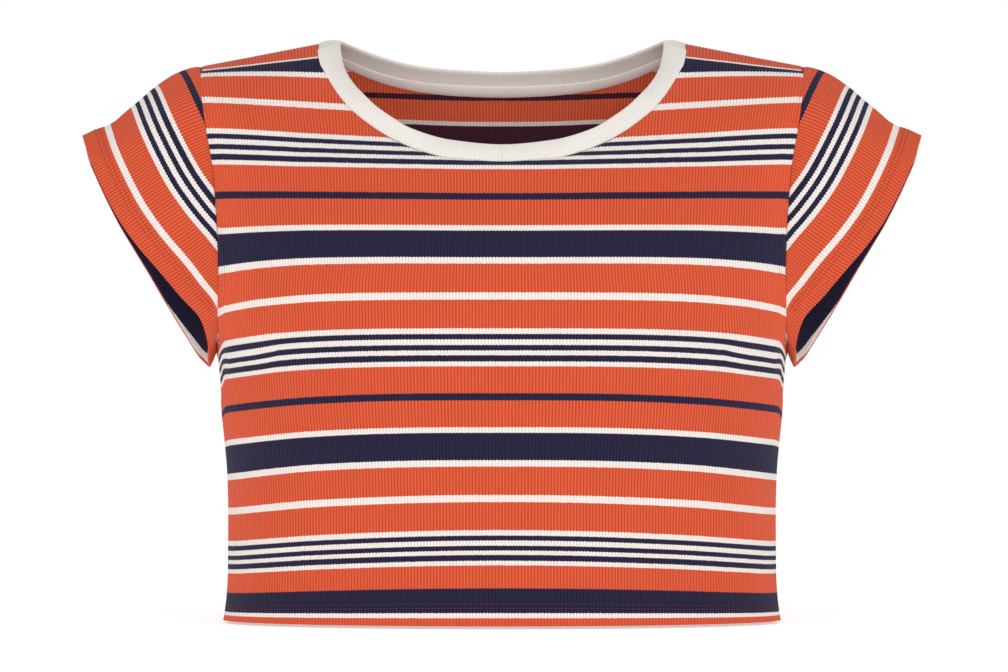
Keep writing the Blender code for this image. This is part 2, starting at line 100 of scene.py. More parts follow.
# Sleeve hem, one row for each course from the underarm up: where the cloth that leaves the
# armhole at that course ends, for the front and for the back half of the sleeve.
SLEEVE_HEM = (
    # name       front_x  front_y  front_z  back_x  back_y  back_z
    ("underarm", 0.1694,  0.000, -0.1874, 0.1694, 0.000, -0.1874),
    ("arm 1",    0.1698, -0.013, -0.1745, 0.1752, 0.013, -0.1830),
    ("arm 2",    0.1728, -0.021, -0.1613, 0.1840, 0.023, -0.1705),
    ("arm 3",    0.1856, -0.027, -0.1458, 0.1975, 0.030, -0.1490),
    ("arm 4",    0.1975, -0.031, -0.1315, 0.2070, 0.033, -0.1330),
    ("arm 5",    0.2095, -0.032, -0.1175, 0.2165, 0.034, -0.1175),
    ("arm 6",    0.2200, -0.031, -0.1028, 0.2250, 0.033, -0.1030),
    ("arm 7",    0.2320, -0.026, -0.0802, 0.2360, 0.028, -0.0800),
    ("arm 8",    0.2378, -0.019, -0.0672, 0.2412, 0.020, -0.0665),
    ("shoulder", 0.2430,  0.000, -0.0534, 0.2430, 0.000, -0.0534),
)

# Line of the sleeve along its top, from the armhole to the hem: how far it stands off the
# straight line between the two, rounded over the shoulder and dipping before the hem.
SLEEVE_TOP_LINE = (
    # share of the way   rise
    (0.00,  0.0000),
    (0.10,  0.0028),
    (0.22,  0.0040),
    (0.36,  0.0032),
    (0.52,  0.0009),
    (0.66, -0.0010),
    (0.75, -0.0024),
    (0.82, -0.0021),
    (0.90, -0.0006),
    (1.00,  0.0000),
)
SLEEVE_ROUNDING = 0.0030
SLEEVE_SLIP = 0.0058     # how far askew its hem is turned up at the back
FULL_SLEEVE = 0.050      # where it is this long, it is rounded in full
HELD_FROM, HELD_OVER = 0.014, 0.006    # where it is longer than this, its hem shows stitches
SLEEVE_HEART = (0.190, 0.0, -0.105)    # middle of the sleeve on the +X side

# Neckline from the middle to the shoulder: the seam of the band on the panel, and its rim.
FRONT_NECK = (
    # name       seam_x  seam_z   rim_x   rim_y    rim_z
    ("middle",   0.0000, -0.0698, 0.0000, -0.0595, -0.0600),
    ("low",      0.0324, -0.0672, 0.0290, -0.0575, -0.0573),
    ("bend",     0.0558, -0.0601, 0.0522, -0.0535, -0.0505),
    ("rise 1",   0.0691, -0.0530, 0.0637, -0.0485, -0.0436),
    ("rise 2",   0.0789, -0.0459, 0.0725, -0.0430, -0.0371),
    ("rise 3",   0.0871, -0.0388, 0.0795, -0.0370, -0.0302),
    ("rise 4",   0.0930, -0.0317, 0.0842, -0.0300, -0.0251),
    ("rise 5",   0.0977, -0.0245, 0.0887, -0.0230, -0.0185),
    ("top 1",    0.1018, -0.0173, 0.0912, -0.0160, -0.0125),
    ("top 2",    0.1056, -0.0100, 0.0928, -0.0085, -0.0050),
    ("shoulder", 0.1067,  0.0003, 0.0937,  0.0000,  0.0020),
)
BACK_NECK = (
    # name       seam_x  seam_z   rim_x   rim_y    rim_z
    ("middle",   0.0000, -0.0250, 0.0000,  0.0465, -0.0140),
    ("low",      0.0256, -0.0242, 0.0247,  0.0448, -0.0130),
    ("bend 1",   0.0452, -0.0224, 0.0429,  0.0413, -0.0115),
    ("bend 2",   0.0608, -0.0196, 0.0569,  0.0369, -0.0093),
    ("rise 1",   0.0771, -0.0148, 0.0707,  0.0304, -0.0057),
    ("rise 2",   0.0938, -0.0075, 0.0844,  0.0200, -0.0011),
    ("shoulder", 0.1067,  0.0003, 0.0937,  0.0000,  0.0020),
)

# Stripes of the knit in the order they come down a panel, each with its width.
ORANGE, NAVY, WHITE = 0.0, 1.0, 2.0
REPEAT = (
    # colour  width
    (WHITE,  0.0030),
    (NAVY,   0.0032),
    (WHITE,  0.0028),
    (NAVY,   0.0033),
    (WHITE,  0.0028),
    (NAVY,   0.0033),
    (WHITE,  0.0028),
    (ORANGE, 0.0153),
    (NAVY,   0.0038),
    (ORANGE, 0.0151),
    (WHITE,  0.0031),
    (NAVY,   0.0156),
    (WHITE,  0.0037),
    (ORANGE, 0.0158),
    (WHITE,  0.0042),
    (ORANGE, 0.0163),
)
REPEAT_LENGTH = sum(width for _, width in REPEAT)
# height of the top of a repeat above the fold of the hem
FRONT_REPEAT_TOP = 0.1690
BACK_REPEAT_TOP = 0.2374
# how far the knit is drawn up over the body at a height: in the middle, halfway, at the side
DRAWN_UP = (
    # height   middle    halfway    side
    (0.0215,  0.0000,  0.0000,  0.0000),
    (0.0350,  0.0014,  0.0012,  0.0007),
    (0.0450,  0.0005,  0.0003, -0.0006),
    (0.0540, -0.0002, -0.0006, -0.0013),
    (0.0720, -0.0003, -0.0006, -0.0018),
    (0.0930, -0.0002,  0.0001, -0.0008),
    (0.1120, -0.0002,  0.0002, -0.0002),
    (0.1500,  0.0000,  0.0001, -0.0003),
    (0.1680,  0.0000, -0.0001, -0.0006),
    (0.1880,  0.0003,  0.0001, -0.0003),
    (0.2080,  0.0008,  0.0013,  0.0012),
    (0.2280,  0.0008,  0.0016,  0.0013),
    (0.2480,  0.0008,  0.0019,  0.0030),
    (0.2660,  0.0002,  0.0016,  0.0036),
    (0.2860,  0.0005,  0.0022,  0.0038),
    (0.3050,  0.0015,  0.0033,  0.0040),
    (0.3260,  0.0030,  0.0050,  0.0053),
    (0.3600,  0.0045,  0.0065,  0.0070),
)
DRAWN_PLACES = (0.02, 0.122, 0.175)
# below the underarm the knit hangs lower close to the side seam: how much, from how far out,
# and at what height, fading over how much of it
UNDERARM_SAG = 0.0080
SAG_FROM = 0.178
SAG_HEIGHT, SAG_FADE = 0.160, 0.040
# the back is eased in this much just below its neck, from a height on and over so much of it
BACK_EASE = 0.0033
BACK_EASE_FROM, BACK_EASE_OVER = 0.292, 0.016
# the turned hem of both panels has its own stripes, counted from the fold up
HEM_STRIPES = (
    (ORANGE, 0.0046),
    (WHITE,  0.0029),
    (NAVY,   0.0140),
)
# a sleeve is cut with the knit the other way up: this far from its fold a repeat ends
SLEEVE_REPEAT_TOP = 0.0140 + 0.0042 + 0.0163

COLOURS = {
    # the knit's wrong side, seen inside the top: its navy is reddish from the orange floats, and
    # both colours are painted lighter than the right side's, as painted light where the inside lies
    # in shade
    "inside orange": (0.900, 0.148, 0.062, 1.0),
    "inside navy": (0.068, 0.0175, 0.036, 1.0),
    "orange": (0.740, 0.103, 0.041, 1.0),
    "navy": (0.0190, 0.0155, 0.0490, 1.0),
    "white": (0.860, 0.790, 0.750, 1.0),
    "cream": (0.800, 0.755, 0.710, 1.0),
    # the tape's colour is painted lighter than the band's cream: painted light for its place in the
    # shade inside the back neck
    "tape": (0.930, 0.870, 0.820, 1.0),
    "thread": (0.110, 0.022, 0.040, 1.0),
    "orange thread": (0.480, 0.064, 0.028, 1.0),
}


# --- curves through the tables -------------------------------------------------------------
def slopes(knots, values):
    """Slope at each knot for a curve that never swings past the values it passes through."""
    steps = np.diff(values) / np.diff(knots)
    before, after = steps[:-1], steps[1:]
    both = before * after
    safe = np.where(both > 0.0, before + after, 1.0)
    inner = np.where(both > 0.0, 2.0 * both / safe, 0.0)
    return np.concatenate([steps[:1], inner, steps[-1:]])


def along(knots, values, w):
    """Value at w on the smooth curve through the values at the knots."""
    knots, values = np.asarray(knots, float), np.asarray(values, float)
    w = np.clip(w, knots[0], knots[-1])
    i = np.clip(np.searchsorted(knots, w, side="right") - 1, 0, len(knots) - 2)
    grade = slopes(knots, values)
    span = knots[i + 1] - knots[i]
    s = (w - knots[i]) / span
    a = (1.0 + 2.0 * s) * (1.0 - s) ** 2 * values[i] + s * (1.0 - s) ** 2 * span * grade[i]
    b = s * s * (3.0 - 2.0 * s) * values[i + 1] + s * s * (s - 1.0) * span * grade[i + 1]
    return a + b


def course_knots():
    """Height of each course up the cloth, between its height at the middle and at the edge."""
    knots = [0.0]
    for low, high in zip(COURSES[:-1], COURSES[1:]):
        edge = math.dist((low[1], low[3], low[2]), (high[1], high[3], high[2]))
        middle = math.dist(low[4:6], high[4:6])
        knots.append(knots[-1] + 0.5 * (edge + middle))
    return np.array(knots)


KNOTS = course_knots()
SHOULDER = KNOTS[-1]
UNDERARM = KNOTS[UNDERARM_ROW]
SETTLED = KNOTS[SETTLED_ROW]


def over_shoulder(front_values, back_values):
    """Front values from the hem up, then back values from the shoulder down, as one line."""
    return np.array(list(front_values) + list(reversed(back_values[:-1])))


LOOP_KNOTS = over_shoulder(KNOTS, [2.0 * SHOULDER - k for k in KNOTS])
FRONT_COLUMNS = (1, 2, 3, 4, 5, 6, 11)
BACK_COLUMNS = (1, 2, 7, 8, 9, 10, 11)
LINES = []
for f, b in zip(FRONT_COLUMNS, BACK_COLUMNS):
    LINES.append(over_shoulder([c[f] for c in COURSES], [c[b] for c in COURSES]))


def loop_place(w, back):
    """Place along the line that runs up the front and down the back."""
    return 2.0 * SHOULDER - w if back else w


def body_point(t, w, back):
    """Outer face of a panel: t from -1 to 1 across it, w up it from the hem to the shoulder."""
    place = loop_place(w, back)
    edge_x, edge_z, edge_y, mid_y, mid_z, turn, sag = [along(LOOP_KNOTS, v, place) for v in LINES]
    turn = np.radians(turn)
    across = np.sin(np.abs(t) * turn) / np.sin(turn)
    swell = (np.cos(np.abs(t) * turn) - np.cos(turn)) / (1.0 - np.cos(turn))
    x = np.copysign(edge_x * across, t)
    y = edge_y + (mid_y - edge_y) * swell
    z = mid_z + (edge_z - mid_z) * np.clip(across, 1e-9, None) ** sag
    return np.stack([x, y, z], axis=-1)


def run_length(points):
    """Distance from the first point along each line of points, along the last axis but one."""
    steps = np.linalg.norm(np.diff(points, axis=-2), axis=-1)
    start = np.zeros(steps.shape[:-1] + (1,))
    return np.concatenate([start, np.cumsum(steps, axis=-1)], axis=-1)


def resample(line, run, at):
    """Points of a line at other places along it."""
    return np.stack([np.interp(at, run, line[:, i]) for i in range(3)], axis=-1)


MIRROR = (-1.0, 1.0, 1.0)
ARMHOLE_SLANT = 0.009    # a panel is cut this much wider at the underarm than at the shoulder
ARMHOLE_TRIM = 0.001     # what the seam takes of that
ARMHOLE_LEAN = 0.01      # and it narrows by at least this share of the height above the underarm
LOW_STEPS = 110          # rows of the tables of a cut, below the underarm
HIGH_STEPS = 140         # and above it
WIDE_STEPS = 100         # columns of the tables of a cut

# Rows of points up a panel: at the hem, and how far below the seam at its upper end.
HEM_ROWS = (0.0, 0.0007, 0.0018, 0.0045, 0.0080, 0.0095, 0.0104, 0.0113, 0.0120, 0.0128,
            0.0140, 0.0145, 0.0150, 0.0170)
SLEEVE_HEM_ROWS = (0.0, 0.0007, 0.0018, 0.0040, 0.0064, 0.0086, 0.0099, 0.0112, 0.0122, 0.0132,
                   0.0140, 0.0150)
TURNED_ROW = 10    # row at the inner edge of a turned hem
LOW_ROWS = 20
HIGH_ROWS = 17
SEAM_ROWS = (0.0024, 0.0016, 0.0010, 0.0005, 0.0)
FORWARD_ROWS = (1.0, 1.0, 0.66, 0.33, 0.0)    # shares of the way to the forward shoulder seam
# The back's cloth comes over the shoulder: how far before the top its seam lies, along u.
FORWARD_SEAM = (
    # u      before the top
    (0.108, 0.0245),
    (0.120, 0.0244),
    (0.148, 0.0233),
    (0.162, 0.0220),
    (0.178, 0.0188),
)
FORWARD_WHITE = 0.0011   # the back's cloth ends at that seam this far into a white stripe
FORWARD_ROOM = 0.0012    # the row of points under that seam lies this far below it

# How far things stand off the plain cloth, and over what distance each fades out.
HEM_RISE = 0.0003          # a turned hem
FOLD_RISE = 0.0003         # and its fold
FOLD_FADE = 0.0015
STITCH_DENT = 0.00035      # a row of stitches
STITCH_FADE = 0.0008
SEAM_DENT = 0.0006         # cloth that rolls into a seam
SEAM_FADE = 0.0013
HEM_STEP = 0.0016          # height over which a hem goes from double to single
RIB_FADE = 0.0012          # ribs end this far short of a seam
FLAT_FROM, FLAT_WIDE = 0.150, 0.040    # where the ribs are pulled flat near the sides


def fade(distance, reach):
    """1 at no distance, falling smoothly to nothing past the reach."""
    return np.exp(-((distance / reach) ** 2))


# --- the cut of a panel: ribs and courses as the knit has them ------------------------------
class Cut:
    """Cloth of one panel, from u across it and w up it to the worn shape."""

    def __init__(self, back):
        self.back = back
        below = np.linspace(0.0, UNDERARM, LOW_STEPS + 1)
        above = np.linspace(UNDERARM, SHOULDER, HIGH_STEPS + 1)
        self.heights = np.concatenate([below, above[1:]])
        shares = np.linspace(0.0, 1.0, WIDE_STEPS + 1)
        ts, ws = np.meshgrid(shares, self.heights)
        run = run_length(body_point(ts, ws, back))
        self.half = float(run[LOW_STEPS, -1])
        # a rib keeps its distance from the middle until the armhole cuts it off
        slant = ARMHOLE_SLANT * (SHOULDER - above) / (SHOULDER - UNDERARM)
        reach = np.maximum.accumulate(run[LOW_STEPS:, -1][::-1])[::-1] + slant - ARMHOLE_TRIM
        reach = np.minimum(reach, self.half - (above - UNDERARM) * ARMHOLE_LEAN)
        self.reach = np.concatenate([np.full(LOW_STEPS, self.half), reach])
        self.reach[LOW_STEPS] = self.half
        self.shoulder_half = float(self.reach[-1])
        self.t_of_share = np.array([np.interp(shares, row / row[-1], shares) for row in run])
        # climb of the cloth above the settled course, column by column
        self.climb_us = np.linspace(0.0, self.half, 81)
        grid_u, grid_w = np.meshgrid(self.climb_us, self.heights, indexing="ij")
        points = self.point(np.minimum(grid_u, self.edge(grid_w)), grid_w)
        climb = run_length(points)
        base = np.array([np.interp(SETTLED, self.heights, row) for row in climb])
        above = self.heights > SETTLED
        self.climb = np.where(above, climb - base[:, None], climb[0] - base[0]) + base[0]

    def edge(self, w):
        """u at which a row meets its side seam or its armhole."""
        return np.interp(w, self.heights, self.reach)

    def row(self, w):
        """Row of the tables below this height, and how far past it the height is."""
        low = np.clip(w / self.heights[1], 0.0, LOW_STEPS)
        high = (w - UNDERARM) / (SHOULDER - UNDERARM) * HIGH_STEPS
        place = np.clip(np.where(w <= UNDERARM, low, LOW_STEPS + high), 0.0,
                        LOW_STEPS + HIGH_STEPS - 0.001)
        row = place.astype(int)
        return row, place - row

    def read(self, table, w, place):
        """Value of a table at height w and at a place across it."""
        i, a = self.row(w)
        place = np.clip(place, 0.0, table.shape[1] - 1.001)
        j = place.astype(int)
        b = place - j
        low = table[i, j] * (1.0 - b) + table[i, j + 1] * b
        high = table[i + 1, j] * (1.0 - b) + table[i + 1, j + 1] * b
        return low * (1.0 - a) + high * a

    def across(self, u, w):
        """t of the rib that lies u from the middle, at height w."""
        share = np.clip(np.abs(u) / self.edge(w), 0.0, 1.0)
        return np.copysign(self.read(self.t_of_share, w, share * WIDE_STEPS), u)

    def point(self, u, w):
        """Point of the outer face of the cloth."""
        return body_point(self.across(u, w), w, self.back)

    def normal(self, u, w):
        """Outward normal of the cloth."""
        step = 0.0004
        u = np.clip(u, step - self.half, self.half - step)
        a = self.point(u + step, w) - self.point(u - step, w)
        b = self.point(u, np.minimum(w + step, SHOULDER)) - self.point(u, w - step)
        n = unit(np.cross(a, b))
        return -n if self.back else n

    def course(self, u, w):
        """Height of the course above the fold of the hem, as the stripes count it."""
        out = np.abs(u)
        height = self.read(self.climb.T, w, out / self.climb_us[1])
        heights, *lifts = np.array(DRAWN_UP).T
        drawn = [along(heights, lift, height) for lift in lifts]
        lift = drawn[0]
        for k in (0, 1):
            near, far = DRAWN_PLACES[k:k + 2]
            lift = lift + (drawn[k + 1] - drawn[k]) * np.clip((out - near) / (far - near), 0.0, 1.0)
        near = np.clip((out - SAG_FROM) / (self.half - SAG_FROM), 0.0, 1.0) ** 2
        lift = lift - UNDERARM_SAG * near * fade(height - SAG_HEIGHT, SAG_FADE)
        if self.back:
            lift -= BACK_EASE * np.clip((height - BACK_EASE_FROM) / BACK_EASE_OVER, 0.0, 1.4)
        return height - lift

    def u_at(self, t, w):
        """u of a point that is given by t and w."""
        steps = np.linspace(0.0, 1.0, 65)
        run = run_length(body_point(steps * t, np.full(65, w), self.back))
        whole = run_length(body_point(steps, np.full(65, w), self.back))
        return float(run[-1] / whole[-1] * self.edge(w))


def across_at(x, w, back):
    """The t at which a row is x away from the middle."""
    place = loop_place(w, back)
    turn = math.radians(float(along(LOOP_KNOTS, LINES[5], place)))
    share = min(1.0, x / float(along(LOOP_KNOTS, LINES[0], place)))
    return math.asin(share * math.sin(turn)) / turn


def find_on_body(x, z, back):
    """The t and w of the point of a panel that is seen from the front at x and z."""
    low, high = UNDERARM, SHOULDER
    for _ in range(36):
        w = 0.5 * (low + high)
        if float(body_point(across_at(x, w, back), w, back)[2]) < z:
            low = w
        else:
            high = w
    return across_at(x, high, back), high


NECK_STATIONS = 41    # points along a neckline, from the middle to the shoulder


def neck_line(back):
    """From the middle to the shoulder: t, w of the seam on the panel, and its rim points."""
    rows = BACK_NECK if back else FRONT_NECK
    knots = [0.0]
    for a, b in zip(rows[:-1], rows[1:]):
        knots.append(knots[-1] + math.dist(a[1:4], b[1:4]))
    places = np.linspace(0.0, knots[-1], NECK_STATIONS)
    # the line runs on past the middle, where x changes sign, so it is smooth there
    both = [-k for k in reversed(knots[1:])] + knots
    lines = []
    for i in range(1, 6):
        sign = -1.0 if i in (1, 3) else 1.0
        values = [row[i] for row in rows]
        lines.append(along(both, [sign * v for v in reversed(values[1:])] + values, places))
    seam_x, seam_z, rim_x, rim_y, rim_z = lines
    found = [find_on_body(float(x), float(z), back) for x, z in zip(seam_x, seam_z)]
    found[-1] = (across_at(float(seam_x[-1]), SHOULDER, back), SHOULDER)
    ts, ws = np.array(found).T
    return ts, np.maximum.accumulate(ws), np.stack([rim_x, rim_y, rim_z], axis=-1)


# --- creases, in each panel's own u and height ---------------------------------------------
# Soft troughs (depth below 0) and ridges (above 0) from one point to another of the cloth.
CREASES = {
    "front": (
        # u1      h1      u2      h2      width   depth
        *((sign * 0.194, 0.172, sign * 0.195, 0.120, 0.0070, -0.0013) for sign in (-1, 1)),
        *((sign * 0.196, 0.150, sign * 0.128, 0.118, 0.0110, -0.0014) for sign in (-1, 1)),
        *((sign * 0.150, 0.232, sign * 0.105, 0.262, 0.0090, 0.0008) for sign in (-1, 1)),
        (-0.178, 0.172, -0.132, 0.186, 0.0100, -0.0012),
        (0.178, 0.172, 0.136, 0.190, 0.0100, -0.0012),
        (-0.120, 0.020, -0.104, 0.084, 0.0120, -0.0010),
        (0.112, 0.014, 0.102, 0.072, 0.0130, -0.0010),
    ),
    "back": (
        (-0.198, 0.150, -0.120, 0.120, 0.0110, -0.0017),
        (0.198, 0.150, 0.128, 0.112, 0.0110, -0.0015),
        (-0.170, 0.176, -0.118, 0.204, 0.0110, -0.0014),
        (0.170, 0.176, 0.126, 0.196, 0.0120, -0.0013),
        (-0.060, 0.020, -0.052, 0.110, 0.0150, -0.0012),
        (0.046, 0.014, 0.058, 0.098, 0.0140, -0.0013),
        (0.000, 0.150, 0.012, 0.240, 0.0140, 0.0007),
    ),
}
SLEEVE_CREASES = (
    # round   reach from the hem, round, reach, width, depth; round is 0 at the front underarm
    (0.070, 0.020, 0.095, 0.048, 0.0070, -0.0008),
    (0.270, 0.022, 0.250, 0.050, 0.0080, -0.0009),
)


def crease_depth(table, us, hs):
    """Sum of the creases at the points (u, h) of a piece."""
    total = np.zeros_like(us)
    for u1, h1, u2, h2, width, depth in table:
        du, dh = u2 - u1, h2 - h1
        share = np.clip(((us - u1) * du + (hs - h1) * dh) / (du * du + dh * dh), 0.0, 1.0)
        gap = np.hypot(us - u1 - share * du, hs - h1 - share * dh)
        total += depth * fade(gap, width) * (0.35 + 0.65 * np.sin(math.pi * share))
    return total


def stand_off(creases, us, heights, gap, hem, rows, held):
    """How far the cloth stands off its plain form: creases, seams, hem and stitch rows."""
    moved = crease_depth(creases, us, heights) - SEAM_DENT * fade(gap, SEAM_FADE)
    moved += HEM_RISE * hem + FOLD_RISE * fade(heights, FOLD_FADE)
    for row in rows:
        moved -= STITCH_DENT * fade(heights - row, STITCH_FADE) * held
    return moved


def rib_share(heights, gap, rows, reach, held):
    """Share of the full depth of the ribs: less at seams and under rows of stitches."""
    relief = np.clip(gap / RIB_FADE, 0.1, 1.0)
    for row in rows:
        relief *= 1.0 - 0.5 * fade(heights - row, reach) * held
    return relief


def hem_part(heights, depth):
    """1 where a hem is turned up to this depth, 0 above it."""
    return np.clip((depth + 0.5 * HEM_STEP - heights) / HEM_STEP, 0.0, 1.0)


# --- meshes --------------------------------------------------------------------------------
def unit(vectors):
    """The vectors, each with a length of 1."""
    return vectors / np.maximum(np.linalg.norm(vectors, axis=-1, keepdims=True), 1e-12)


def outward(points, flip):
    """Unit normals of a grid of points."""
    n = unit(np.cross(np.gradient(points, axis=0), np.gradient(points, axis=1)))
    return -n if flip else n


def ring_outward(points, flip):
    """Unit normals of a grid whose last column meets its first."""
    wide = np.concatenate([points[-2:-1], points, points[1:2]], axis=0)
    return outward(wide, flip)[1:-1]


def strip_faces(ids, flip):
    """Four-sided faces of a grid of point numbers."""
    a, b = ids[:-1, :-1], ids[1:, :-1]
    c, d = ids[1:, 1:], ids[:-1, 1:]
    corners = (a, d, c, b) if flip else (a, b, c, d)
    return np.stack([k.ravel() for k in corners], axis=-1).tolist()


def border(columns, rows, closed):
    """Places once round a grid, or round each open end of a tube."""
    low = [(i, 0) for i in range(columns)]
    high = [(i, rows - 1) for i in range(columns - 1, -1, -1)]
    if closed:
        return [low, high]
    right = [(columns - 1, j) for j in range(rows)]
    left = [(0, j) for j in range(rows - 1, -1, -1)]
    return [low, right, high, left]


def turn_hem(thing, first, rows, slip):
    """Inside a turned hem the cloth runs on past its fold, so its height counts down."""
    layer = thing.data.uv_layers["cloth"].data
    # faces marked here get the wrong-side knit, whose colours are painted lighter as painted light
    # for the shaded inside
    sides = thing.data.attributes.new("reverse_side_painted_lighter", "INT", "FACE").data
    for face in thing.data.polygons:
        if min(face.vertices) < first:
            continue
        if any((k - first) % rows > TURNED_ROW // 2 for k in face.vertices):
            sides[face.index].value = 1
            continue
        for loop, k in zip(face.loop_indices, face.vertices):
            spot = layer[loop].uv
            spot[1] = -spot[1] - slip[(k - first) // rows]


def mesh_piece(name, points, faces, uv, facts):
    """Mesh object with the cloth's own u and height as a UV map and its facts as attributes."""
    mesh = bpy.data.meshes.new(name)
    mesh.from_pydata(points.tolist(), [], faces)
    mesh.validate()
    layer = mesh.uv_layers.new(name="cloth")
    corners = np.empty(len(mesh.loops), dtype=np.int32)
    mesh.loops.foreach_get("vertex_index", corners)
    layer.data.foreach_set("uv", uv[corners].astype(np.float32).ravel())
    for label, values in facts.items():
        kind = "FLOAT" if values.ndim == 1 else "FLOAT_VECTOR"
        slot = mesh.attributes.new(label, kind, "POINT")
        values = values.astype(np.float32).ravel()
        slot.data.foreach_set("value" if kind == "FLOAT" else "vector", values)
    mesh.polygons.foreach_set("use_smooth", [True] * len(mesh.polygons))
    thing = bpy.data.objects.new(name, mesh)
    bpy.context.scene.collection.objects.link(thing)
    return thing


def numbered(grid, first):
    """Numbers of the points of a grid, counted from the first."""
    columns, rows = grid.shape[:2]
    return first + np.arange(columns * rows).reshape(columns, rows)


def wall(name, outer, normals, thick, uv, relief, flip, slip=None):
    """Wall of a piece: fine outer face, coarser inner face, and the rims between the two.

    A tube gives the slip of its hem; its last column is its first again.
    """
    closed = slip is not None
    if closed:
        outer, normals, thick, uv, relief, slip = [
            v[:-1] for v in (outer, normals, thick, uv, relief, slip)]
    inner = (outer - normals * thick[..., None])[::2, ::2]
    first = outer.shape[0] * outer.shape[1]
    outer_ids, inner_ids = numbered(outer, 0), numbered(inner, first)
    if closed:
        outer_ids, inner_ids = [np.vstack([ids, ids[:1]]) for ids in (outer_ids, inner_ids)]
    faces = strip_faces(outer_ids, flip) + strip_faces(inner_ids, not flip)
    for line in border(*outer_ids.shape, closed):
        for k in range(0, len(line) - 2, 2):
            run = line[k:k + 3]
            face = [int(outer_ids[place]) for place in run]
            face += [int(inner_ids[i // 2, j // 2]) for i, j in (run[2], run[0])]
            faces.append(face if flip else face[::-1])
    points = np.concatenate([outer.reshape(-1, 3), inner.reshape(-1, 3)])
    sides = np.concatenate([normals.reshape(-1, 3), -normals[::2, ::2].reshape(-1, 3)])
    uvs = np.concatenate([uv.reshape(-1, 2), uv[::2, ::2].reshape(-1, 2)])
    reliefs = np.concatenate([relief.ravel(), relief[::2, ::2].ravel() * 0.8])
    thing = mesh_piece(name, points, faces, uvs, {"outward": sides, "relief": reliefs})
    slips = slip[::2] if closed else np.zeros(inner.shape[0])
    turn_hem(thing, first, inner.shape[1], slips)
    return thing


def over_the_shoulder(thing, forward, rows, to_top):
    """Above the forward seam the stripes are those of the back's cloth, upside down."""
    white_end = FRONT_REPEAT_TOP + REPEAT[-1][1]
    seam_row = rows - len(SEAM_ROWS) + 1
    mesh = thing.data
    layer = mesh.uv_layers["cloth"].data
    for face in mesh.polygons:
        corners = [divmod(k, rows) for k in face.vertices]
        if not all(i < len(forward) and forward[i] and j >= seam_row for i, j in corners):
            continue
        for loop, (i, j) in zip(face.loop_indices, corners):
            up = to_top[i, seam_row] - to_top[i, j]
            layer[loop].uv[1] = white_end + FORWARD_WHITE - up


EASE_FROM, EASE_WIDE = 0.132, 0.024    # the easing at the underarm begins this far out
EASE_TURNS = 14                        # times that each row is drawn towards its neighbours
EASE_UP = 0.12                         # share of that up and down, small so that stripes stay


def ease_underarm(base, normals, us, ws, back):
    """Let the cloth pass the underarm without a fold; its border stays where it is."""
    near = np.clip((np.abs(us) - EASE_FROM) / EASE_WIDE, 0.0, 1.0)
    near = near * near * (3.0 - 2.0 * near)
    near = near * np.clip(1.6 - np.abs(ws - UNDERARM - 0.008) / 0.026, 0.0, 1.0)
    d = np.diff(ws, axis=1)
    before, after = d[:, :-1, None], d[:, 1:, None]
    pull = near[:, 1:-1, None] * 0.6
    pull[[0, -1]] = 0.0
    for _ in range(EASE_TURNS):
        middle = (base[:, :-2] * after + base[:, 2:] * before) / (before + after)
        move = (middle - base[:, 1:-1]) * pull
        move[..., 2] *= EASE_UP
        base[:, 1:-1] += move
    return base, unit(normals + (outward(base, back) - normals) * near[..., None])


def panel_rows(cut, us, tops, on_neck, back):
    """Height of every point of a panel, and which columns have the forward seam."""
    on_shoulder = np.abs(us) <= cut.shoulder_half
    low = np.concatenate([HEM_ROWS, np.linspace(HEM_ROWS[-1], 0.9 * UNDERARM, LOW_ROWS + 1)[1:]])
    high = np.linspace(0.0, 1.0, HIGH_ROWS + 1)[1:]
    near_top = np.tile(SEAM_ROWS, (len(us), 1))
    forward = on_shoulder & ~on_neck & (not back)
    before = np.interp(np.abs(us), *np.array(FORWARD_SEAM).T)
    near_top[forward] = before[forward, None] * FORWARD_ROWS
    near_top[forward, 0] += FORWARD_ROOM
    last = tops[:, None] - near_top[:, :1]
    ws = np.concatenate([
        np.tile(low, (len(us), 1)),
        low[-1] + (last - low[-1]) * high,
        tops[:, None] - near_top[:, 1:],
    ], axis=1)
    return ws, forward, before


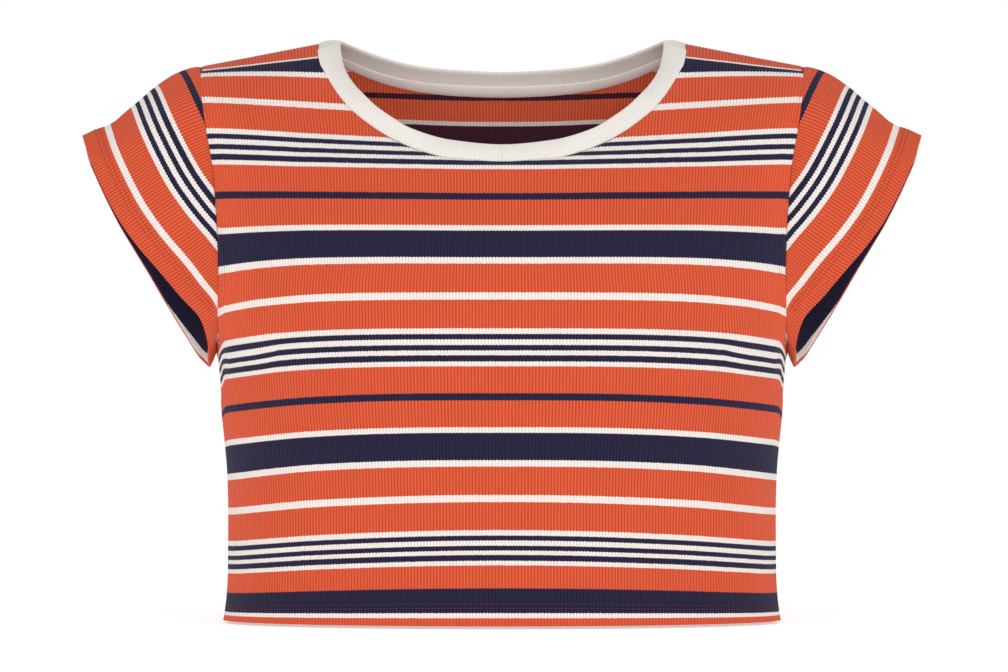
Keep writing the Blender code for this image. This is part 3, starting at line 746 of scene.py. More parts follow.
def panel(name, back):
    """Front or back: columns of points along the ribs, each from the hem to its upper end."""
    cut = Cut(back)
    ts, ws, _ = neck_line(back)
    neck_us = np.maximum.accumulate([cut.u_at(t, w) for t, w in zip(ts, ws)])
    ribs = 2 * round(cut.half / RIB_PITCH)
    half_columns = ribs * RIB_STEPS // 2
    us = cut.half * np.arange(-half_columns, half_columns + 1) / half_columns
    tops = np.interp(np.abs(us), cut.reach[LOW_STEPS:][::-1], cut.heights[LOW_STEPS:][::-1])
    tops[np.abs(us) <= cut.shoulder_half] = SHOULDER
    on_neck = np.abs(us) < neck_us[-1]
    tops[on_neck] = np.interp(np.abs(us[on_neck]), neck_us, ws)
    w_grid, forward, before = panel_rows(cut, us, tops, on_neck, back)
    u_grid = np.repeat(us[:, None], w_grid.shape[1], axis=1)
    base, normals = ease_underarm(
        cut.point(u_grid, w_grid), cut.normal(u_grid, w_grid), u_grid, w_grid, back)
    heights = cut.course(u_grid, w_grid)
    # distance to the nearest seam: neck and shoulders, sides and armholes, forward shoulder seam
    to_top = run_length(base)
    to_top = to_top[:, -1:] - to_top
    gap = np.minimum(to_top, cut.edge(w_grid) - np.abs(u_grid))
    to_seam = np.abs(w_grid - (SHOULDER - before[:, None]))
    gap = np.where(forward[:, None], np.minimum(gap, to_seam), gap)
    hem = hem_part(heights, HEM_DEPTH)
    moved = stand_off(CREASES[name], u_grid, heights, gap, hem, HEM_STITCHES, 1.0)
    outer = base + normals * moved[..., None]
    thick = CLOTH + (HEM_CLOTH - CLOTH) * hem
    flat = np.clip((np.abs(u_grid) - FLAT_FROM) / FLAT_WIDE, 0.0, 1.0)
    relief = rib_share(heights, gap, HEM_STITCHES, 0.0007, 1.0) * (1.0 - 0.45 * flat)
    uv = np.stack([u_grid, heights], axis=-1)
    thing = wall(name, outer, normals, thick, uv, relief, back)
    if not back:
        over_the_shoulder(thing, forward, uv.shape[1], to_top)
    note_ribs(thing, 2.0 * cut.half / ribs, RIB_RELIEF)
    return thing, cut


# --- sleeves -------------------------------------------------------------------------------
def sleeve_ring(side):
    """Armhole and hem of one sleeve, once round from the underarm over the top."""
    low, high = UNDERARM, 2.0 * SHOULDER - UNDERARM
    places = np.linspace(low, high, 801)
    knots = LOOP_KNOTS[UNDERARM_ROW:len(LOOP_KNOTS) - UNDERARM_ROW]
    lines = []
    for i in (1, 2, 3):
        line = over_shoulder([row[i] for row in SLEEVE_HEM], [row[i + 3] for row in SLEEVE_HEM])
        lines.append(along(knots, line, places))
    hem = np.stack(lines, axis=-1)
    seam = np.stack([along(LOOP_KNOTS, LINES[i], places) for i in (0, 2, 1)], axis=-1)
    mirror = (side, 1.0, 1.0)
    return places, seam * mirror, hem * mirror


def sleeve_rows(length):
    """Distance of each row from the hem, and the room that the hem has where it is short."""
    room = np.clip(length * 0.55 / HEM_DEPTH, 0.0, 1.0)
    hem_rows = SLEEVE_HEM_ROWS * room
    seam_rows = SEAM_ROWS * np.clip(length / 0.025, 0.0, 1.0)
    middle = SLEEVE_ROWS + 1 - hem_rows.shape[1] - seam_rows.shape[1]
    steps = np.linspace(0.0, 1.0, middle + 2)[1:-1]
    first, last = hem_rows[:, -1:], length - seam_rows[:, :1]
    return np.hstack([hem_rows, first + (last - first) * steps, length - seam_rows]), room


def sleeve(name, side):
    """Cap sleeve: columns of points along the ribs, from the hem to the armhole."""
    places, seam, hem = sleeve_ring(side)
    run = run_length(hem)
    ribs = round(run[-1] / RIB_PITCH)
    count = ribs * RIB_STEPS
    around = run[-1] * np.arange(count + 1) / count
    at = np.interp(around, run, places)
    seam, hem = resample(seam, places, at), resample(hem, places, at)
    chord = hem - seam
    length = np.linalg.norm(chord, axis=-1)
    heart = np.array(SLEEVE_HEART) * (side, 1.0, 1.0)
    out = 0.5 * (seam + hem) - heart
    out = unit(out - chord * (np.sum(out * chord, axis=-1) / length ** 2)[:, None])
    climb = (SHOULDER - np.abs(at - SHOULDER) - UNDERARM) / (SHOULDER - UNDERARM)
    top_share = np.clip(climb, 0.0, 1.0) ** 4
    size = np.minimum(1.0, length / FULL_SLEEVE) ** 2
    climbs, room = sleeve_rows(length[:, None])
    shares = np.clip(1.0 - climbs / length[:, None], 0.0, 1.0)
    lift = along(*np.array(SLEEVE_TOP_LINE).T, shares) * top_share[:, None]
    lift += SLEEVE_ROUNDING * np.sin(math.pi * shares) * (1.0 - top_share)[:, None]
    lift *= size[:, None]
    base = seam[:, None] + chord[:, None] * shares[..., None] + out[:, None] * lift[..., None]
    normals = ring_outward(base, side < 0)
    height = run_length(base) * (1.0 + 0.06 * top_share[:, None])
    u_grid = np.repeat(around[:, None], SLEEVE_ROWS + 1, axis=1)
    gap = height[:, -1:] - height
    hem = hem_part(height, HEM_DEPTH * room)
    held = np.clip((length[:, None] - HELD_FROM) / HELD_OVER, 0.0, 1.0)
    moved = stand_off(SLEEVE_CREASES, u_grid, height, gap, hem, SLEEVE_STITCHES, held)
    relief = rib_share(height, gap, SLEEVE_STITCHES, STITCH_FADE, held)
    outer = base + normals * moved[..., None]
    thick = CLOTH + (HEM_CLOTH - CLOTH) * hem
    uv = np.stack([u_grid, height], axis=-1)
    # at the back of the sleeve the hem is turned up a little askew
    behind = np.clip((at - SHOULDER) / (0.3 * (SHOULDER - UNDERARM)), 0.0, 1.0)
    behind *= np.clip((2.0 * SHOULDER - UNDERARM - at - 0.010) / 0.050, 0.0, 1.0)
    thing = wall(name, outer, normals, thick, uv, relief, side < 0, SLEEVE_SLIP * behind)
    note_ribs(thing, run[-1] / ribs, RIB_RELIEF)
    return thing, outer, normals, height, held[:, 0]


# --- neckband and tape ---------------------------------------------------------------------
def neck_ring():
    """Seam and rim of the neckband, once round from the middle of the front."""
    halves = []
    for back in (False, True):
        ts, ws, rim = neck_line(back)
        halves.append((body_point(ts, ws, back), rim))
    rings = []
    for front, behind in zip(*halves):
        line = np.concatenate([front, behind[-2::-1]])
        rings.append(np.concatenate([line, line[-2::-1] * MIRROR]))
    return rings


def swept(name, columns, uv, relief, pitch, depth, ring):
    """Closed body from cross-sections: a ring of them, or a strip with capped ends."""
    if ring:
        columns, uv, relief = columns[:-1], uv[:-1], relief[:-1]
    ids = numbered(columns, 0)
    wrap = np.hstack([ids, ids[:, :1]])
    closed = np.concatenate([columns, columns[:, :1]], axis=1)
    if ring:
        wrap = np.vstack([wrap, wrap[:1]])
        closed = np.concatenate([closed[-1:], closed, closed[:1]])
    faces = strip_faces(wrap, False)
    sides = outward(closed, False)[:, :-1]
    if ring:
        sides = sides[1:-1]
    else:
        faces += [ids[0].tolist(), ids[-1][::-1].tolist()]
    facts = {"outward": sides.reshape(-1, 3), "relief": relief.ravel()}
    thing = mesh_piece(name, columns.reshape(-1, 3), faces, uv.reshape(-1, 2), facts)
    note_ribs(thing, pitch, depth)
    return thing


BAND_PITCH = 0.0021      # ribs of the neckband, finer in relief than the body's
BAND_RELIEF = 0.00007
BAND_CROWN = 0.0009      # how far the outer face of the band is rounded out
BAND_WIDTH = 0.012       # from the seam to the rim, as the knit of the band counts it
HEART_OF_TOP = (0.0, -0.006, -0.2)     # a point inside the top; the band's outside faces away


def neckband():
    """Folded band: out from the seam, over the rounded rim and back down inside."""
    seam, rim = neck_ring()
    run = run_length(0.5 * (seam + rim))
    ribs = round(run[-1] / BAND_PITCH)
    count = ribs * RIB_STEPS
    at = run[-1] * np.arange(count + 1) / count
    seam, rim = resample(seam, run, at), resample(rim, run, at)
    width = np.linalg.norm(rim - seam, axis=-1, keepdims=True)
    up = unit(rim - seam)
    wide = np.concatenate([seam[-2:-1], seam, seam[1:2]])
    out = unit(np.cross(unit(wide[2:] - wide[:-2]), up))
    out *= np.sign(np.sum(out * (seam - HEART_OF_TOP), axis=-1, keepdims=True))
    # (share of the way up, distance out of the outer face) round the section
    half = 0.5 * BAND_CLOTH
    section = []
    for share in (0.0, 0.04, 0.12, 0.24, 0.38, 0.52, 0.66, 0.78, 0.87):
        tuck = 0.0005 if share == 0.0 else 0.0
        section.append((share, BAND_CROWN * math.sin(math.pi * share) - tuck))
    for angle in (60.0, 30.0, 0.0, -30.0, -60.0):
        a = math.radians(angle)
        section.append((1.0 - 0.085 * (1.0 - math.cos(a)), half * math.sin(a) - half * 0.75))
    for share in (0.87, 0.74, 0.58, 0.40, 0.22, 0.08, 0.0):
        section.append((share, BAND_CROWN * math.sin(math.pi * share) - BAND_CLOTH))
    shares, offs = np.array(section).T
    columns = seam[:, None] + (up * width)[:, None] * shares[:, None]
    columns = columns + out[:, None] * offs[:, None]
    steps = np.hypot(np.diff(shares, prepend=0.0) * BAND_WIDTH, np.diff(offs, prepend=0.0))
    us, hs = np.meshgrid(at, np.cumsum(steps), indexing="ij")
    relief = np.where(shares < 0.03, 0.2, 1.0) * np.ones((count + 1, 1))
    uv = np.stack([us, hs], axis=-1)
    return swept("neckband_knit", columns[:, ::-1], uv[:, ::-1], relief[:, ::-1],
                 run[-1] / ribs, BAND_RELIEF, True)


TAPE_STEPS = 240         # cross-sections along the tape
TAPE_FACES = (0.0, 0.0, -0.100)    # a point inside the top that the tape faces
TAPE_GAP = BAND_CLOTH + 0.0003     # the tape lies over the band's own thickness


def neck_tape():
    """Tape laid over the inside of the back neck seam, from shoulder to shoulder."""
    ts, ws, rims = neck_line(True)
    last = NECK_STATIONS - 2
    ts = np.concatenate([-ts[last:0:-1], ts[:last + 1]])
    ws = np.concatenate([ws[last:0:-1], ws[:last + 1]])
    rims = np.concatenate([rims[last:0:-1] * MIRROR, rims[:last + 1]])
    seam = body_point(ts, ws, True)
    down = unit(body_point(ts, ws - 0.004, True) - seam)
    up = unit(rims - seam)
    run = run_length(seam)
    at = run[-1] * np.arange(TAPE_STEPS + 1) / TAPE_STEPS
    seam, up, down = [resample(v, run, at) for v in (seam, up, down)]
    tangent = unit(np.gradient(seam, axis=0))
    inwards = TAPE_FACES - seam
    ins = []
    for way in (up, down):
        n = unit(np.cross(tangent, way))
        ins.append(n * np.sign(np.sum(n * inwards, axis=-1, keepdims=True)))
    both = unit(ins[0] + ins[1])
    columns = []
    for lift in (0.0, TAPE_CLOTH):
        rows = [
            seam + down * 0.0034 + ins[1] * (TAPE_GAP - 0.0006 + lift * 0.6),
            seam + down * 0.0026 + ins[1] * (TAPE_GAP - 0.0004 + lift),
            seam + both * (TAPE_GAP + lift),
            seam + up * 0.0030 + ins[0] * (TAPE_GAP + lift),
            seam + up * 0.0039 + ins[0] * (TAPE_GAP + lift * 0.6),
        ]
        columns.append(rows if lift else rows[::-1])
    columns = np.stack(columns[0] + columns[1], axis=1)
    hs = np.array((0.008, 0.007, 0.004, 0.001, 0.0))
    uv = np.stack(np.meshgrid(at, [*hs, *hs[::-1]], indexing="ij"), axis=-1)
    return swept("neck_tape_cloth", columns, uv, np.zeros(uv.shape[:2]), 0.0021, 0.0, False)


# --- node tools: ribs and stitches ---------------------------------------------------------
FLOAT, COLOR, VECTOR = "NodeSocketFloat", "NodeSocketColor", "NodeSocketVector"
GEOMETRY, MATERIAL = "NodeSocketGeometry", "NodeSocketMaterial"


def new_node(tree, kind, **settings):
    node = tree.nodes.new(kind)
    for key, value in settings.items():
        setattr(node, key, value)
    return node


def node_group(name, kind, inputs, outputs):
    """Node group with named inputs and outputs, and the two nodes that carry them."""
    tree = bpy.data.node_groups.new(name, kind)
    for way, sockets in (("INPUT", inputs), ("OUTPUT", outputs)):
        for label, socket in sockets:
            tree.interface.new_socket(label, in_out=way, socket_type=socket)
    return tree, new_node(tree, "NodeGroupInput").outputs, new_node(tree, "NodeGroupOutput").inputs


def maths(tree, operation, a, b=None, c=None):
    """Result of a Math node whose inputs are numbers or other nodes' outputs."""
    node = new_node(tree, "ShaderNodeMath", operation=operation)
    for i, value in enumerate((a, b, c)):
        if isinstance(value, (int, float)):
            node.inputs[i].default_value = value
        elif value is not None:
            tree.links.new(value, node.inputs[i])
    return node.outputs[0]


def product(tree, first, *others):
    for other in others:
        first = maths(tree, "MULTIPLY", first, other)
    return first


def rib_wave(tree, across, pitch):
    """1 in the furrow between two ribs and -1 on a rib, with the number of ribs so far."""
    turns = maths(tree, "DIVIDE", across, pitch)
    return maths(tree, "COSINE", product(tree, turns, 2.0 * math.pi)), turns


def paint_and_end(tree, geometry, given, end):
    """Make what a geometry group has laid real, and give it its material."""
    real = new_node(tree, "GeometryNodeRealizeInstances")
    paint = new_node(tree, "GeometryNodeSetMaterial")
    tree.links.new(geometry, real.inputs["Geometry"])
    tree.links.new(real.outputs["Geometry"], paint.inputs["Geometry"])
    tree.links.new(given["Material"], paint.inputs["Material"])
    tree.links.new(paint.outputs["Geometry"], end["Geometry"])


def rib_group():
    """Geometry nodes that press the furrows between the ribs into the cloth."""
    inputs = [("Geometry", GEOMETRY), ("Rib Pitch", FLOAT), ("Furrow Depth", FLOAT),
              ("Material", MATERIAL)]
    tree, given, end = node_group("rib relief", "GeometryNodeTree", inputs, inputs[:1])

    def noted(name, kind="FLOAT"):
        node = new_node(tree, "GeometryNodeInputNamedAttribute", data_type=kind)
        node.inputs["Name"].default_value = name
        return node.outputs["Attribute"]

    wave, _ = rib_wave(tree, noted("rib_run"), given["Rib Pitch"])
    furrow = maths(tree, "POWER", maths(tree, "MULTIPLY_ADD", wave, 0.5, 0.5), 1.4)
    offset = new_node(tree, "ShaderNodeVectorMath", operation="SCALE")
    place = new_node(tree, "GeometryNodeSetPosition")
    tree.links.new(noted("outward", "FLOAT_VECTOR"), offset.inputs[0])
    tree.links.new(product(tree, furrow, given["Furrow Depth"], noted("relief"), -1.0),
                   offset.inputs["Scale"])
    tree.links.new(given["Geometry"], place.inputs["Geometry"])
    tree.links.new(offset.outputs[0], place.inputs["Offset"])
    paint_and_end(tree, place.outputs["Geometry"], given, end)
    return tree


def set_inputs(modifier, values):
    """Give a node modifier its inputs, by the names on its group."""
    for item in modifier.node_group.interface.items_tree:
        if item.item_type == "SOCKET" and item.in_out == "INPUT" and item.name in values:
            modifier[item.identifier] = values[item.name]


def bake_modifiers(thing):
    """Replace the object's mesh with what its modifiers make of it."""
    bpy.context.view_layer.update()
    graph = bpy.context.evaluated_depsgraph_get()
    made = bpy.data.meshes.new_from_object(
        thing.evaluated_get(graph), preserve_all_data_layers=True, depsgraph=graph)
    thing.modifiers.clear()
    old = thing.data
    thing.data = made
    made.name = thing.name
    bpy.data.meshes.remove(old)


WAITING = []


def note_ribs(thing, pitch, depth):
    """Note the ribs of a piece; they are pressed in once its material is known."""
    mesh = thing.data
    uv = np.empty(len(mesh.loops) * 2, dtype=np.float32)
    mesh.uv_layers["cloth"].data.foreach_get("uv", uv)
    corners = np.empty(len(mesh.loops), dtype=np.int32)
    mesh.loops.foreach_get("vertex_index", corners)
    across = np.zeros(len(mesh.vertices), dtype=np.float32)
    across[corners] = uv.reshape(-1, 2)[:, 0]
    slot = mesh.attributes.new("rib_run", "FLOAT", "POINT")
    slot.data.foreach_set("value", across)
    WAITING.append((thing, pitch, depth))


def show_wrong_side(thing, material):
    """Give the inside of a piece, above its turned hem, the knit's wrong side in colours painted
    lighter: painted light where the inside lies in shade.
    """
    thing.data.materials.append(material)
    slots = np.zeros(len(thing.data.polygons), dtype=np.int32)
    thing.data.attributes["reverse_side_painted_lighter"].data.foreach_get("value", slots)
    thing.data.polygons.foreach_set("material_index", slots)
    thing.data.attributes.remove(thing.data.attributes["reverse_side_painted_lighter"])


def press_ribs(materials):
    """Press the noted ribs into their pieces and give each piece its material."""
    tree = rib_group()
    for thing, pitch, depth in WAITING:
        if depth > 0.0:
            modifier = thing.modifiers.new("ribs", "NODES")
            modifier.node_group = tree
            set_inputs(modifier, {"Rib Pitch": pitch, "Furrow Depth": depth,
                                  "Material": materials[thing.name]})
            bake_modifiers(thing)
        else:
            thing.data.materials.append(materials[thing.name])
        for label in ("rib_run", "relief", "outward"):
            thing.data.attributes.remove(thing.data.attributes[label])


def stitch_group():
    """Geometry nodes that lay one stitch after another along a path."""
    inputs = [("Geometry", GEOMETRY), ("Stitch Pitch", FLOAT), ("Stitch Length", FLOAT),
              ("Thread Width", FLOAT), ("Material", MATERIAL)]
    tree, given, end = node_group("stitch row", "GeometryNodeTree", inputs, inputs[:1])
    points = new_node(tree, "GeometryNodeCurveToPoints", mode="LENGTH")
    ball = new_node(tree, "GeometryNodeMeshUVSphere")
    for label, value in (("Segments", 6), ("Rings", 4), ("Radius", 0.5)):
        ball.inputs[label].default_value = value
    size = new_node(tree, "ShaderNodeCombineXYZ")
    stretch = new_node(tree, "GeometryNodeTransform")
    lay = new_node(tree, "GeometryNodeInstanceOnPoints")
    turn = new_node(tree, "FunctionNodeAlignRotationToVector", axis="Z")
    for a, b in (
            (given["Geometry"], points.inputs["Curve"]),
            (given["Stitch Pitch"], points.inputs["Length"]),
            (given["Thread Width"], size.inputs["X"]),
            (given["Thread Width"], size.inputs["Y"]),
            (given["Stitch Length"], size.inputs["Z"]),
            (ball.outputs["Mesh"], stretch.inputs["Geometry"]),
            (size.outputs[0], stretch.inputs["Scale"]),
            (points.outputs["Tangent"], turn.inputs["Vector"]),
            (points.outputs["Points"], lay.inputs["Points"]),
            (stretch.outputs["Geometry"], lay.inputs["Instance"]),
            (turn.outputs["Rotation"], lay.inputs["Rotation"])):
        tree.links.new(a, b)
    paint_and_end(tree, lay.outputs["Instances"], given, end)
    return tree


def stitches(name, paths, material, tree):
    """Rows of stitches along the paths, as one mesh."""
    curve = bpy.data.curves.new(name, "CURVE")
    curve.dimensions = "3D"
    for path in paths:
        spline = curve.splines.new("POLY")
        spline.points.add(len(path) - 1)
        spline.points.foreach_set("co", np.column_stack([path, np.ones(len(path))]).ravel())
    guide = bpy.data.objects.new(name + "_path", curve)
    bpy.context.scene.collection.objects.link(guide)
    modifier = guide.modifiers.new("stitches", "NODES")
    modifier.node_group = tree
    set_inputs(modifier, {
        "Stitch Pitch": STITCH_PITCH,
        "Stitch Length": STITCH_LENGTH,
        "Thread Width": THREAD_WIDTH,
        "Material": material,
    })
    bpy.context.view_layer.update()
    graph = bpy.context.evaluated_depsgraph_get()
    mesh = bpy.data.meshes.new_from_object(guide.evaluated_get(graph), depsgraph=graph)
    mesh.name = name
    if material.name not in [m.name for m in mesh.materials if m]:
        mesh.materials.append(material)
    mesh.polygons.foreach_set("use_smooth", [True] * len(mesh.polygons))
    thing = bpy.data.objects.new(name, mesh)
    bpy.context.scene.collection.objects.link(thing)
    bpy.data.objects.remove(guide, do_unlink=True)
    return thing


# --- materials -----------------------------------------------------------------------------
def cloth_place(tree):
    """The cloth's own place: across it, up it, and both."""
    uv = new_node(tree, "ShaderNodeUVMap", uv_map="cloth").outputs["UV"]
    parts = new_node(tree, "ShaderNodeSeparateXYZ")
    tree.links.new(uv, parts.inputs[0])
    return parts.outputs["X"], parts.outputs["Y"], uv


def noise_at(tree, place, scale, detail=2.0):
    noise = new_node(tree, "ShaderNodeTexNoise")
    noise.inputs["Scale"].default_value = scale
    noise.inputs["Detail"].default_value = detail
    tree.links.new(place, noise.inputs["Vector"])
    return noise.outputs["Fac"]


def mixed(tree, factor, a, b, blend="MIX"):
    mix = new_node(tree, "ShaderNodeMix", data_type="RGBA", blend_type=blend)
    if isinstance(factor, float):
        mix.inputs["Factor"].default_value = factor
    else:
        tree.links.new(factor, mix.inputs["Factor"])
    tree.links.new(a, mix.inputs["A"])
    tree.links.new(b, mix.inputs["B"])
    return mix.outputs["Result"]


def knit_group():
    """Rib knit: painted shade in the furrows between the ribs, the little stitches, and the bump."""
    inputs = [("Rib Pitch", FLOAT), ("Course Pitch", FLOAT), ("Furrow Shade", FLOAT),
              ("Bump Height", FLOAT), ("Colour", COLOR)]
    tree, given, end = node_group(
        "rib knit", "ShaderNodeTree", inputs, [("Colour", COLOR), ("Normal", VECTOR)])
    u, v, uv = cloth_place(tree)
    wave, turns = rib_wave(tree, u, given["Rib Pitch"])
    # the furrows between the ribs are painted darker: painted shade, on top of the furrows pressed
    # into the geometry
    furrow = maths(tree, "POWER", maths(tree, "MULTIPLY_ADD", wave, 0.5, 0.5), 1.6)
    # each rib is a column of small V-shaped stitches
    inside = maths(tree, "ABSOLUTE", maths(tree, "SINE", product(tree, turns, math.pi)))
    course = maths(tree, "DIVIDE", v, given["Course Pitch"])
    slant = maths(tree, "MULTIPLY_ADD", inside, 0.55, course)
    stitch = maths(tree, "SINE", product(tree, slant, 2.0 * math.pi))
    stitch = maths(tree, "MULTIPLY_ADD", stitch, 0.5, 0.5)
    fibre = noise_at(tree, uv, 900.0, 3.0)
    # colour factor: painted furrow shade, times random fibre and tone, times the stitch pattern
    light = product(
        tree,
        maths(tree, "SUBTRACT", 1.0, product(tree, furrow, given["Furrow Shade"])),
        maths(tree, "MULTIPLY_ADD", fibre, 0.22, 0.89),
        maths(tree, "MULTIPLY_ADD", noise_at(tree, uv, 38.0), 0.10, 0.95),
        maths(tree, "MULTIPLY_ADD", stitch, 0.08, 0.95))
    grey = new_node(tree, "ShaderNodeCombineColor")
    for channel in ("Red", "Green", "Blue"):
        tree.links.new(light, grey.inputs[channel])
    tree.links.new(mixed(tree, 1.0, given["Colour"], grey.outputs[0], "MULTIPLY"), end["Colour"])
    height = maths(tree, "MULTIPLY_ADD", stitch, 0.25, product(tree, furrow, -0.6))
    height = maths(tree, "MULTIPLY_ADD", fibre, 0.15, height)
    bump = new_node(tree, "ShaderNodeBump")
    bump.inputs["Strength"].default_value = 0.5
    tree.links.new(given["Bump Height"], bump.inputs["Distance"])
    tree.links.new(height, bump.inputs["Height"])
    tree.links.new(bump.outputs["Normal"], end["Normal"])
    return tree


YARN_STRAY = 0.0006      # unevenness where one yarn gives way to the next
YARN_SCALLOP = 0.00017   # yarns change later on top of a rib than in its furrow, by half of this


def stripe_group():
    """Colour of the knit at a height, from the stripes of the repeat."""
    inputs = [("Repeat Top", FLOAT), ("Direction", FLOAT), ("Hem Stripes", FLOAT),
              ("Rib Pitch", FLOAT), ("Orange", COLOR), ("Navy", COLOR), ("White", COLOR)]
    tree, given, end = node_group(
        "knit stripes", "ShaderNodeTree", inputs, [("Colour", COLOR), ("Eased Furrow Shade", FLOAT)])
    u, v, uv = cloth_place(tree)
    height = maths(tree, "MULTIPLY_ADD", noise_at(tree, uv, 700.0), YARN_STRAY, v)
    height = maths(tree, "SUBTRACT", height, 0.5 * YARN_STRAY)
    wave, _ = rib_wave(tree, u, given["Rib Pitch"])
    height = maths(tree, "MULTIPLY_ADD", wave, YARN_SCALLOP, height)
    down = product(tree, maths(tree, "SUBTRACT", given["Repeat Top"], height), given["Direction"])
    turn = maths(tree, "DIVIDE", down, REPEAT_LENGTH)
    share = maths(tree, "FRACT", maths(tree, "ADD", turn, 8.0))
    repeat = stripe_ramp(tree, share, REPEAT, REPEAT_LENGTH)
    hem_length = sum(width for _, width in HEM_STRIPES)
    hem = stripe_ramp(
        tree, maths(tree, "DIVIDE", height, 2.0 * hem_length), HEM_STRIPES, 2.0 * hem_length)
    in_hem = product(tree, maths(tree, "LESS_THAN", height, hem_length), given["Hem Stripes"])
    code = maths(tree, "MULTIPLY_ADD", maths(tree, "SUBTRACT", hem, repeat), in_hem, repeat)
    is_navy = maths(tree, "COMPARE", code, 0.5 * NAVY, 0.2)
    is_white = maths(tree, "COMPARE", code, 0.5 * WHITE, 0.2)
    dark = mixed(tree, is_navy, given["Orange"], given["Navy"])
    tree.links.new(mixed(tree, is_white, dark, given["White"]), end["Colour"])
    # less painted furrow shade on white stripes, and where the cloth is pulled flat at the sides
    side = maths(tree, "SUBTRACT", maths(tree, "ABSOLUTE", u), FLAT_FROM)
    side = maths(tree, "MINIMUM", maths(tree, "MAXIMUM", product(tree, side, 20.0), 0.0), 0.9)
    side = product(tree, side, given["Hem Stripes"])
    tree.links.new(maths(tree, "MAXIMUM", is_white, side), end["Eased Furrow Shade"])
    return tree


def stripe_ramp(tree, share, stripes, length):
    """Stepped ramp that gives 0 on orange, a half on navy and 1 on white stripes."""
    ramp = new_node(tree, "ShaderNodeValToRGB")
    ramp.color_ramp.interpolation = "CONSTANT"
    at = 0.0
    for i, (code, width) in enumerate(stripes):
        if i < 2:
            stop = ramp.color_ramp.elements[i]
            stop.position = at / length
        else:
            stop = ramp.color_ramp.elements.new(at / length)
        stop.color = (0.5 * code,) * 4
        at += width
    tree.links.new(share, ramp.inputs["Fac"])
    return ramp.outputs["Alpha"]


def cloth_material(name, roughness, sheen):
    """Cloth with a soft sheen; its colour and normal are linked by the caller."""
    material = bpy.data.materials.new(name)
    material.use_nodes = True
    tree = material.node_tree
    shader = tree.nodes["Principled BSDF"]
    shader.inputs["Roughness"].default_value = roughness
    shader.inputs["Sheen Weight"].default_value = sheen
    shader.inputs["Sheen Roughness"].default_value = 0.5
    shader.inputs["Specular IOR Level"].default_value = 0.12
    return material, tree, shader


def add_group(tree, group, values):
    node = new_node(tree, "ShaderNodeGroup", node_tree=group)
    for label, value in values.items():
        node.inputs[label].default_value = value
    return node


def knit_shader(tree, shader, knit, values, links=()):
    """Rib knit into the shader's colour and normal."""
    loops = add_group(tree, knit, values)
    for label, source in links:
        tree.links.new(source, loops.inputs[label])
    tree.links.new(loops.outputs["Colour"], shader.inputs["Base Color"])
    tree.links.new(loops.outputs["Normal"], shader.inputs["Normal"])


def knit_material(name, groups, pitch, cloth, side=""):
    """Striped knit of a piece, its right side or the inside; the inside's colours are painted
    lighter, as painted light for its shade.
    """
    knit, stripes = groups
    top, direction, hem_stripes = cloth
    material, tree, shader = cloth_material(name, 0.88, 0.12)
    bands = add_group(tree, stripes, {
        "Repeat Top": top, "Direction": direction, "Hem Stripes": hem_stripes, "Rib Pitch": pitch,
        "Orange": COLOURS[side + "orange"], "Navy": COLOURS[side + "navy"],
        "White": COLOURS["white"]}).outputs
    # painted shade in the furrows: 0.42, less on white stripes and at the flattened sides
    shade = maths(tree, "MULTIPLY_ADD", bands["Eased Furrow Shade"], -0.24, 0.42)
    knit_shader(tree, shader, knit, {
        "Rib Pitch": pitch, "Course Pitch": COURSE_PITCH, "Bump Height": 0.0005,
    }, (("Furrow Shade", shade), ("Colour", bands["Colour"])))
    return material


def plain_knit(name, knit, colour, pitch, course, shade):
    """Knit of one colour."""
    material, tree, shader = cloth_material(name, 0.9, 0.06)
    knit_shader(tree, shader, knit, {
        "Rib Pitch": pitch, "Course Pitch": course, "Furrow Shade": shade,
        "Bump Height": 0.0004, "Colour": colour})
    return material


def thread_material(name, colour):
    """Twisted thread, darker and lighter by turns."""
    material, tree, shader = cloth_material(name, 0.6, 0.0)
    place = new_node(tree, "ShaderNodeTexCoord").outputs["Object"]
    ramp = new_node(tree, "ShaderNodeValToRGB")
    for stop, share in zip(ramp.color_ramp.elements, (0.6, 1.5)):
        stop.color = (*(share * c for c in colour[:3]), 1.0)
    tree.links.new(noise_at(tree, place, 1500.0), ramp.inputs["Fac"])
    tree.links.new(ramp.outputs["Color"], shader.inputs["Base Color"])
    return material


# --- the top -------------------------------------------------------------------------------
def hem_paths(cut, raise_by):
    """The two stitch rows of a panel's hem."""
    paths = []
    us = np.linspace(-cut.half + 0.001, cut.half - 0.001, 400)
    for row in HEM_STITCHES:
        ws = np.full(len(us), np.interp(row, cut.climb[0], cut.heights))
        base = np.stack([cut.point(us, ws), cut.point(us, ws + 0.001)], axis=1)
        paths.append(base[:, 0] + outward(base, cut.back)[:, 0] * raise_by)
    return paths


def sleeve_paths(outer, normals, height, held, raise_by):
    """The two stitch rows of a sleeve's hem, where the sleeve is long enough for them."""
    paths = []
    for row in SLEEVE_STITCHES:
        path = []
        for i in np.nonzero(held > 0.4)[0][::4]:
            point, normal = [
                np.array([np.interp(row, height[i], grid[i, :, k]) for k in range(3)])
                for grid in (outer, normals)]
            path.append(point + normal * raise_by)
        paths.append(np.array(path))
    return paths


front, front_cut = panel("front", False)
back, back_cut = panel("back", True)
left, *left_hem = sleeve("sleeve_left", -1)
right, *right_hem = sleeve("sleeve_right", 1)
band = neckband()
tape = neck_tape()

groups = (knit_group(), stripe_group())
pitches = {thing.name: pitch for thing, pitch, _ in WAITING}
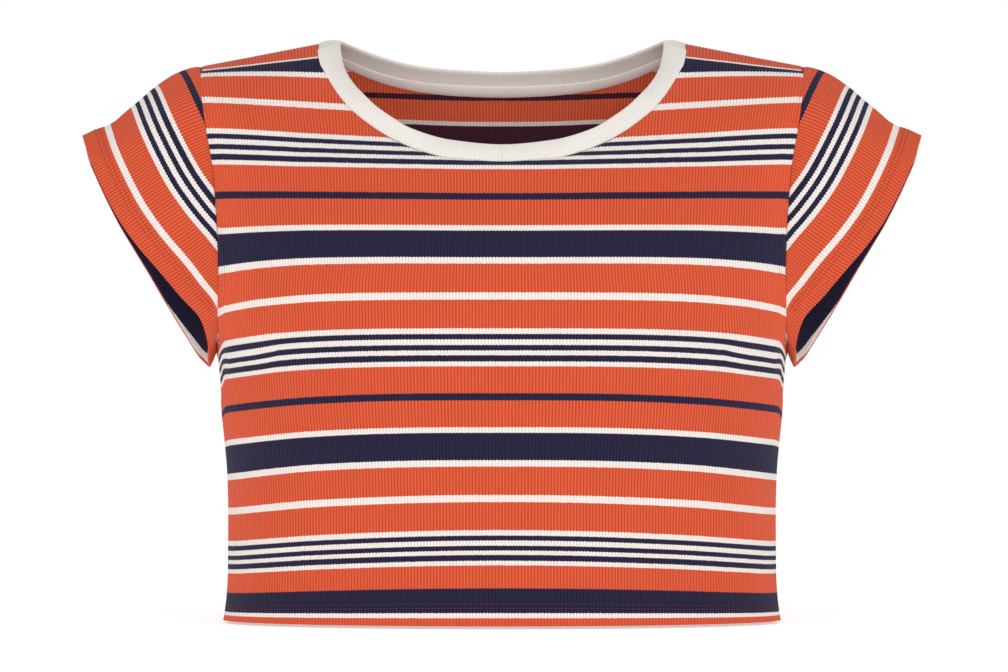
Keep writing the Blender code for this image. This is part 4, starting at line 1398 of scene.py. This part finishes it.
# each striped piece: top of a repeat, direction of the knit, and 1 if its hem has its own stripes
striped = {
    front: (FRONT_REPEAT_TOP, 1.0, 1.0),
    back: (BACK_REPEAT_TOP, 1.0, 1.0),
    left: (SLEEVE_REPEAT_TOP, -1.0, 0.0),
    right: (SLEEVE_REPEAT_TOP, -1.0, 0.0),
}
materials = {}
for thing, cloth in striped.items():
    name = thing.name
    materials[name] = knit_material(name + "_knit", groups, pitches[name], cloth)
# band and tape: one colour each, with a little painted furrow shade (last number); the tape's colour
# is painted lighter than the band's, as painted light
materials[band.name] = plain_knit("band_knit", groups[0], COLOURS["cream"], pitches[band.name],
                                  COURSE_PITCH, 0.05)
materials[tape.name] = plain_knit("tape_twill", groups[0], COLOURS["tape"], 0.0010, 0.0006, 0.10)
press_ribs(materials)
# the insides of the striped pieces get the wrong-side knit in lighter colours: painted light where
# the inside lies in shade
for thing, cloth in striped.items():
    name = thing.name
    show_wrong_side(thing, knit_material(
        name + "_reverse_side_painted_lighter", groups, pitches[name], cloth, "inside "))

thread = thread_material("plum_thread", COLOURS["thread"])
orange_thread = thread_material("orange_thread", COLOURS["orange thread"])
stitch_rows = stitch_group()
hems = {
    front: stitches("front_hem_stitches", hem_paths(front_cut, THREAD_LIFT), thread, stitch_rows),
    back: stitches("back_hem_stitches", hem_paths(back_cut, THREAD_LIFT), thread, stitch_rows),
}
for thing, hem in ((left, left_hem), (right, right_hem)):
    hems[thing] = stitches(thing.name + "_stitches", sleeve_paths(*hem, 2.0 * THREAD_LIFT),
                           orange_thread, stitch_rows)

for thing, node, slot in (
        (front, "front", "rib_knit_orange"), (back, "back", "rib_knit_orange"),
        (left, "sleeve_left", "rib_knit_orange"), (right, "sleeve_right", "rib_knit_orange"),
        (band, "neckband", "rib_knit_cream"), (tape, "neck_tape", "neck_tape_cream")):
    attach(thing, "root")
    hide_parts(node)
for thing in hems.values():
    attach(thing, "root")


# --- floor, light and camera ---------------------------------------------------------------
def floor_material(name, colour, glow):
    """Plain matt floor with a little light of its own, so that it stays pale far off."""
    material = bpy.data.materials.new(name)
    material.use_nodes = True
    shader = material.node_tree.nodes["Principled BSDF"]
    shader.inputs["Base Color"].default_value = colour
    shader.inputs["Roughness"].default_value = 1.0
    shader.inputs["Specular IOR Level"].default_value = 0.0
    shader.inputs["Emission Color"].default_value = (1.0, 1.0, 1.0, 1.0)
    shader.inputs["Emission Strength"].default_value = glow
    return material


floor_mesh = bpy.data.meshes.new("floor")
floor_z = cad_box[0][2] - FLOOR_BELOW_HEM
FLOOR_REACH = 2.0
corners = ((-1, -1), (1, -1), (1, 1), (-1, 1))
floor_mesh.from_pydata(
    [(x * FLOOR_REACH, y * FLOOR_REACH, floor_z) for x, y in corners], [], [(0, 1, 2, 3)])
floor = bpy.data.objects.new("floor", floor_mesh)
floor_mesh.materials.append(floor_material("pale_floor", (0.90, 0.90, 0.90, 1.0), 0.47))
bpy.context.scene.collection.objects.link(floor)


def area_light(name, place, aim, size, power):
    data = bpy.data.lights.new(name, "AREA")
    data.shape = "RECTANGLE"
    data.size, data.size_y = size
    data.energy = power
    light = bpy.data.objects.new(name, data)
    light.location = place
    way = Vector(aim) - Vector(place)
    light.rotation_euler = way.to_track_quat("-Z", "Y").to_euler()
    bpy.context.scene.collection.objects.link(light)


middle = (0.0, 0.0, -0.16)
area_light("key", (-0.5, -3.0, 0.05), middle, (2.6, 0.7), 17.0)
area_light("fill", (0.9, -3.0, 0.02), middle, (2.2, 0.7), 13.0)
area_light("left", (-2.3, -1.0, 1.5), middle, (1.4, 1.4), 8.5)
area_light("right", (2.3, -1.0, 1.5), middle, (1.4, 1.4), 8.5)
area_light("top", (0.0, -1.3, 1.5), middle, (2.0, 1.0), 4.5)

world = bpy.data.worlds.new("studio")
world.use_nodes = True
backdrop = world.node_tree.nodes["Background"]
backdrop.inputs["Color"].default_value = (1.0, 1.0, 1.0, 1.0)
seen = world.node_tree.nodes.new("ShaderNodeLightPath")
amount = world.node_tree.nodes.new("ShaderNodeMix")
amount.inputs["A"].default_value = 0.54  # as a light
amount.inputs["B"].default_value = 1.0   # as the white backdrop behind the top
world.node_tree.links.new(seen.outputs["Is Camera Ray"], amount.inputs["Factor"])
world.node_tree.links.new(amount.outputs["Result"], backdrop.inputs["Strength"])
bpy.context.scene.world = world
bpy.context.scene.view_settings.view_transform = "Standard"

CAMERA_DISTANCE = 3.3
FRAME_WIDTH = 0.58464  # width of the view at the middle of the top
camera_data = bpy.data.cameras.new("camera")
camera_data.sensor_width = 36.0
camera_data.lens = 36.0 * CAMERA_DISTANCE / FRAME_WIDTH
camera = bpy.data.objects.new("camera", camera_data)
camera.location = (0.00116, -CAMERA_DISTANCE, -0.1694)
camera.rotation_euler = (math.radians(90.0), 0.0, 0.0)
bpy.context.scene.collection.objects.link(camera)
bpy.context.scene.camera = camera
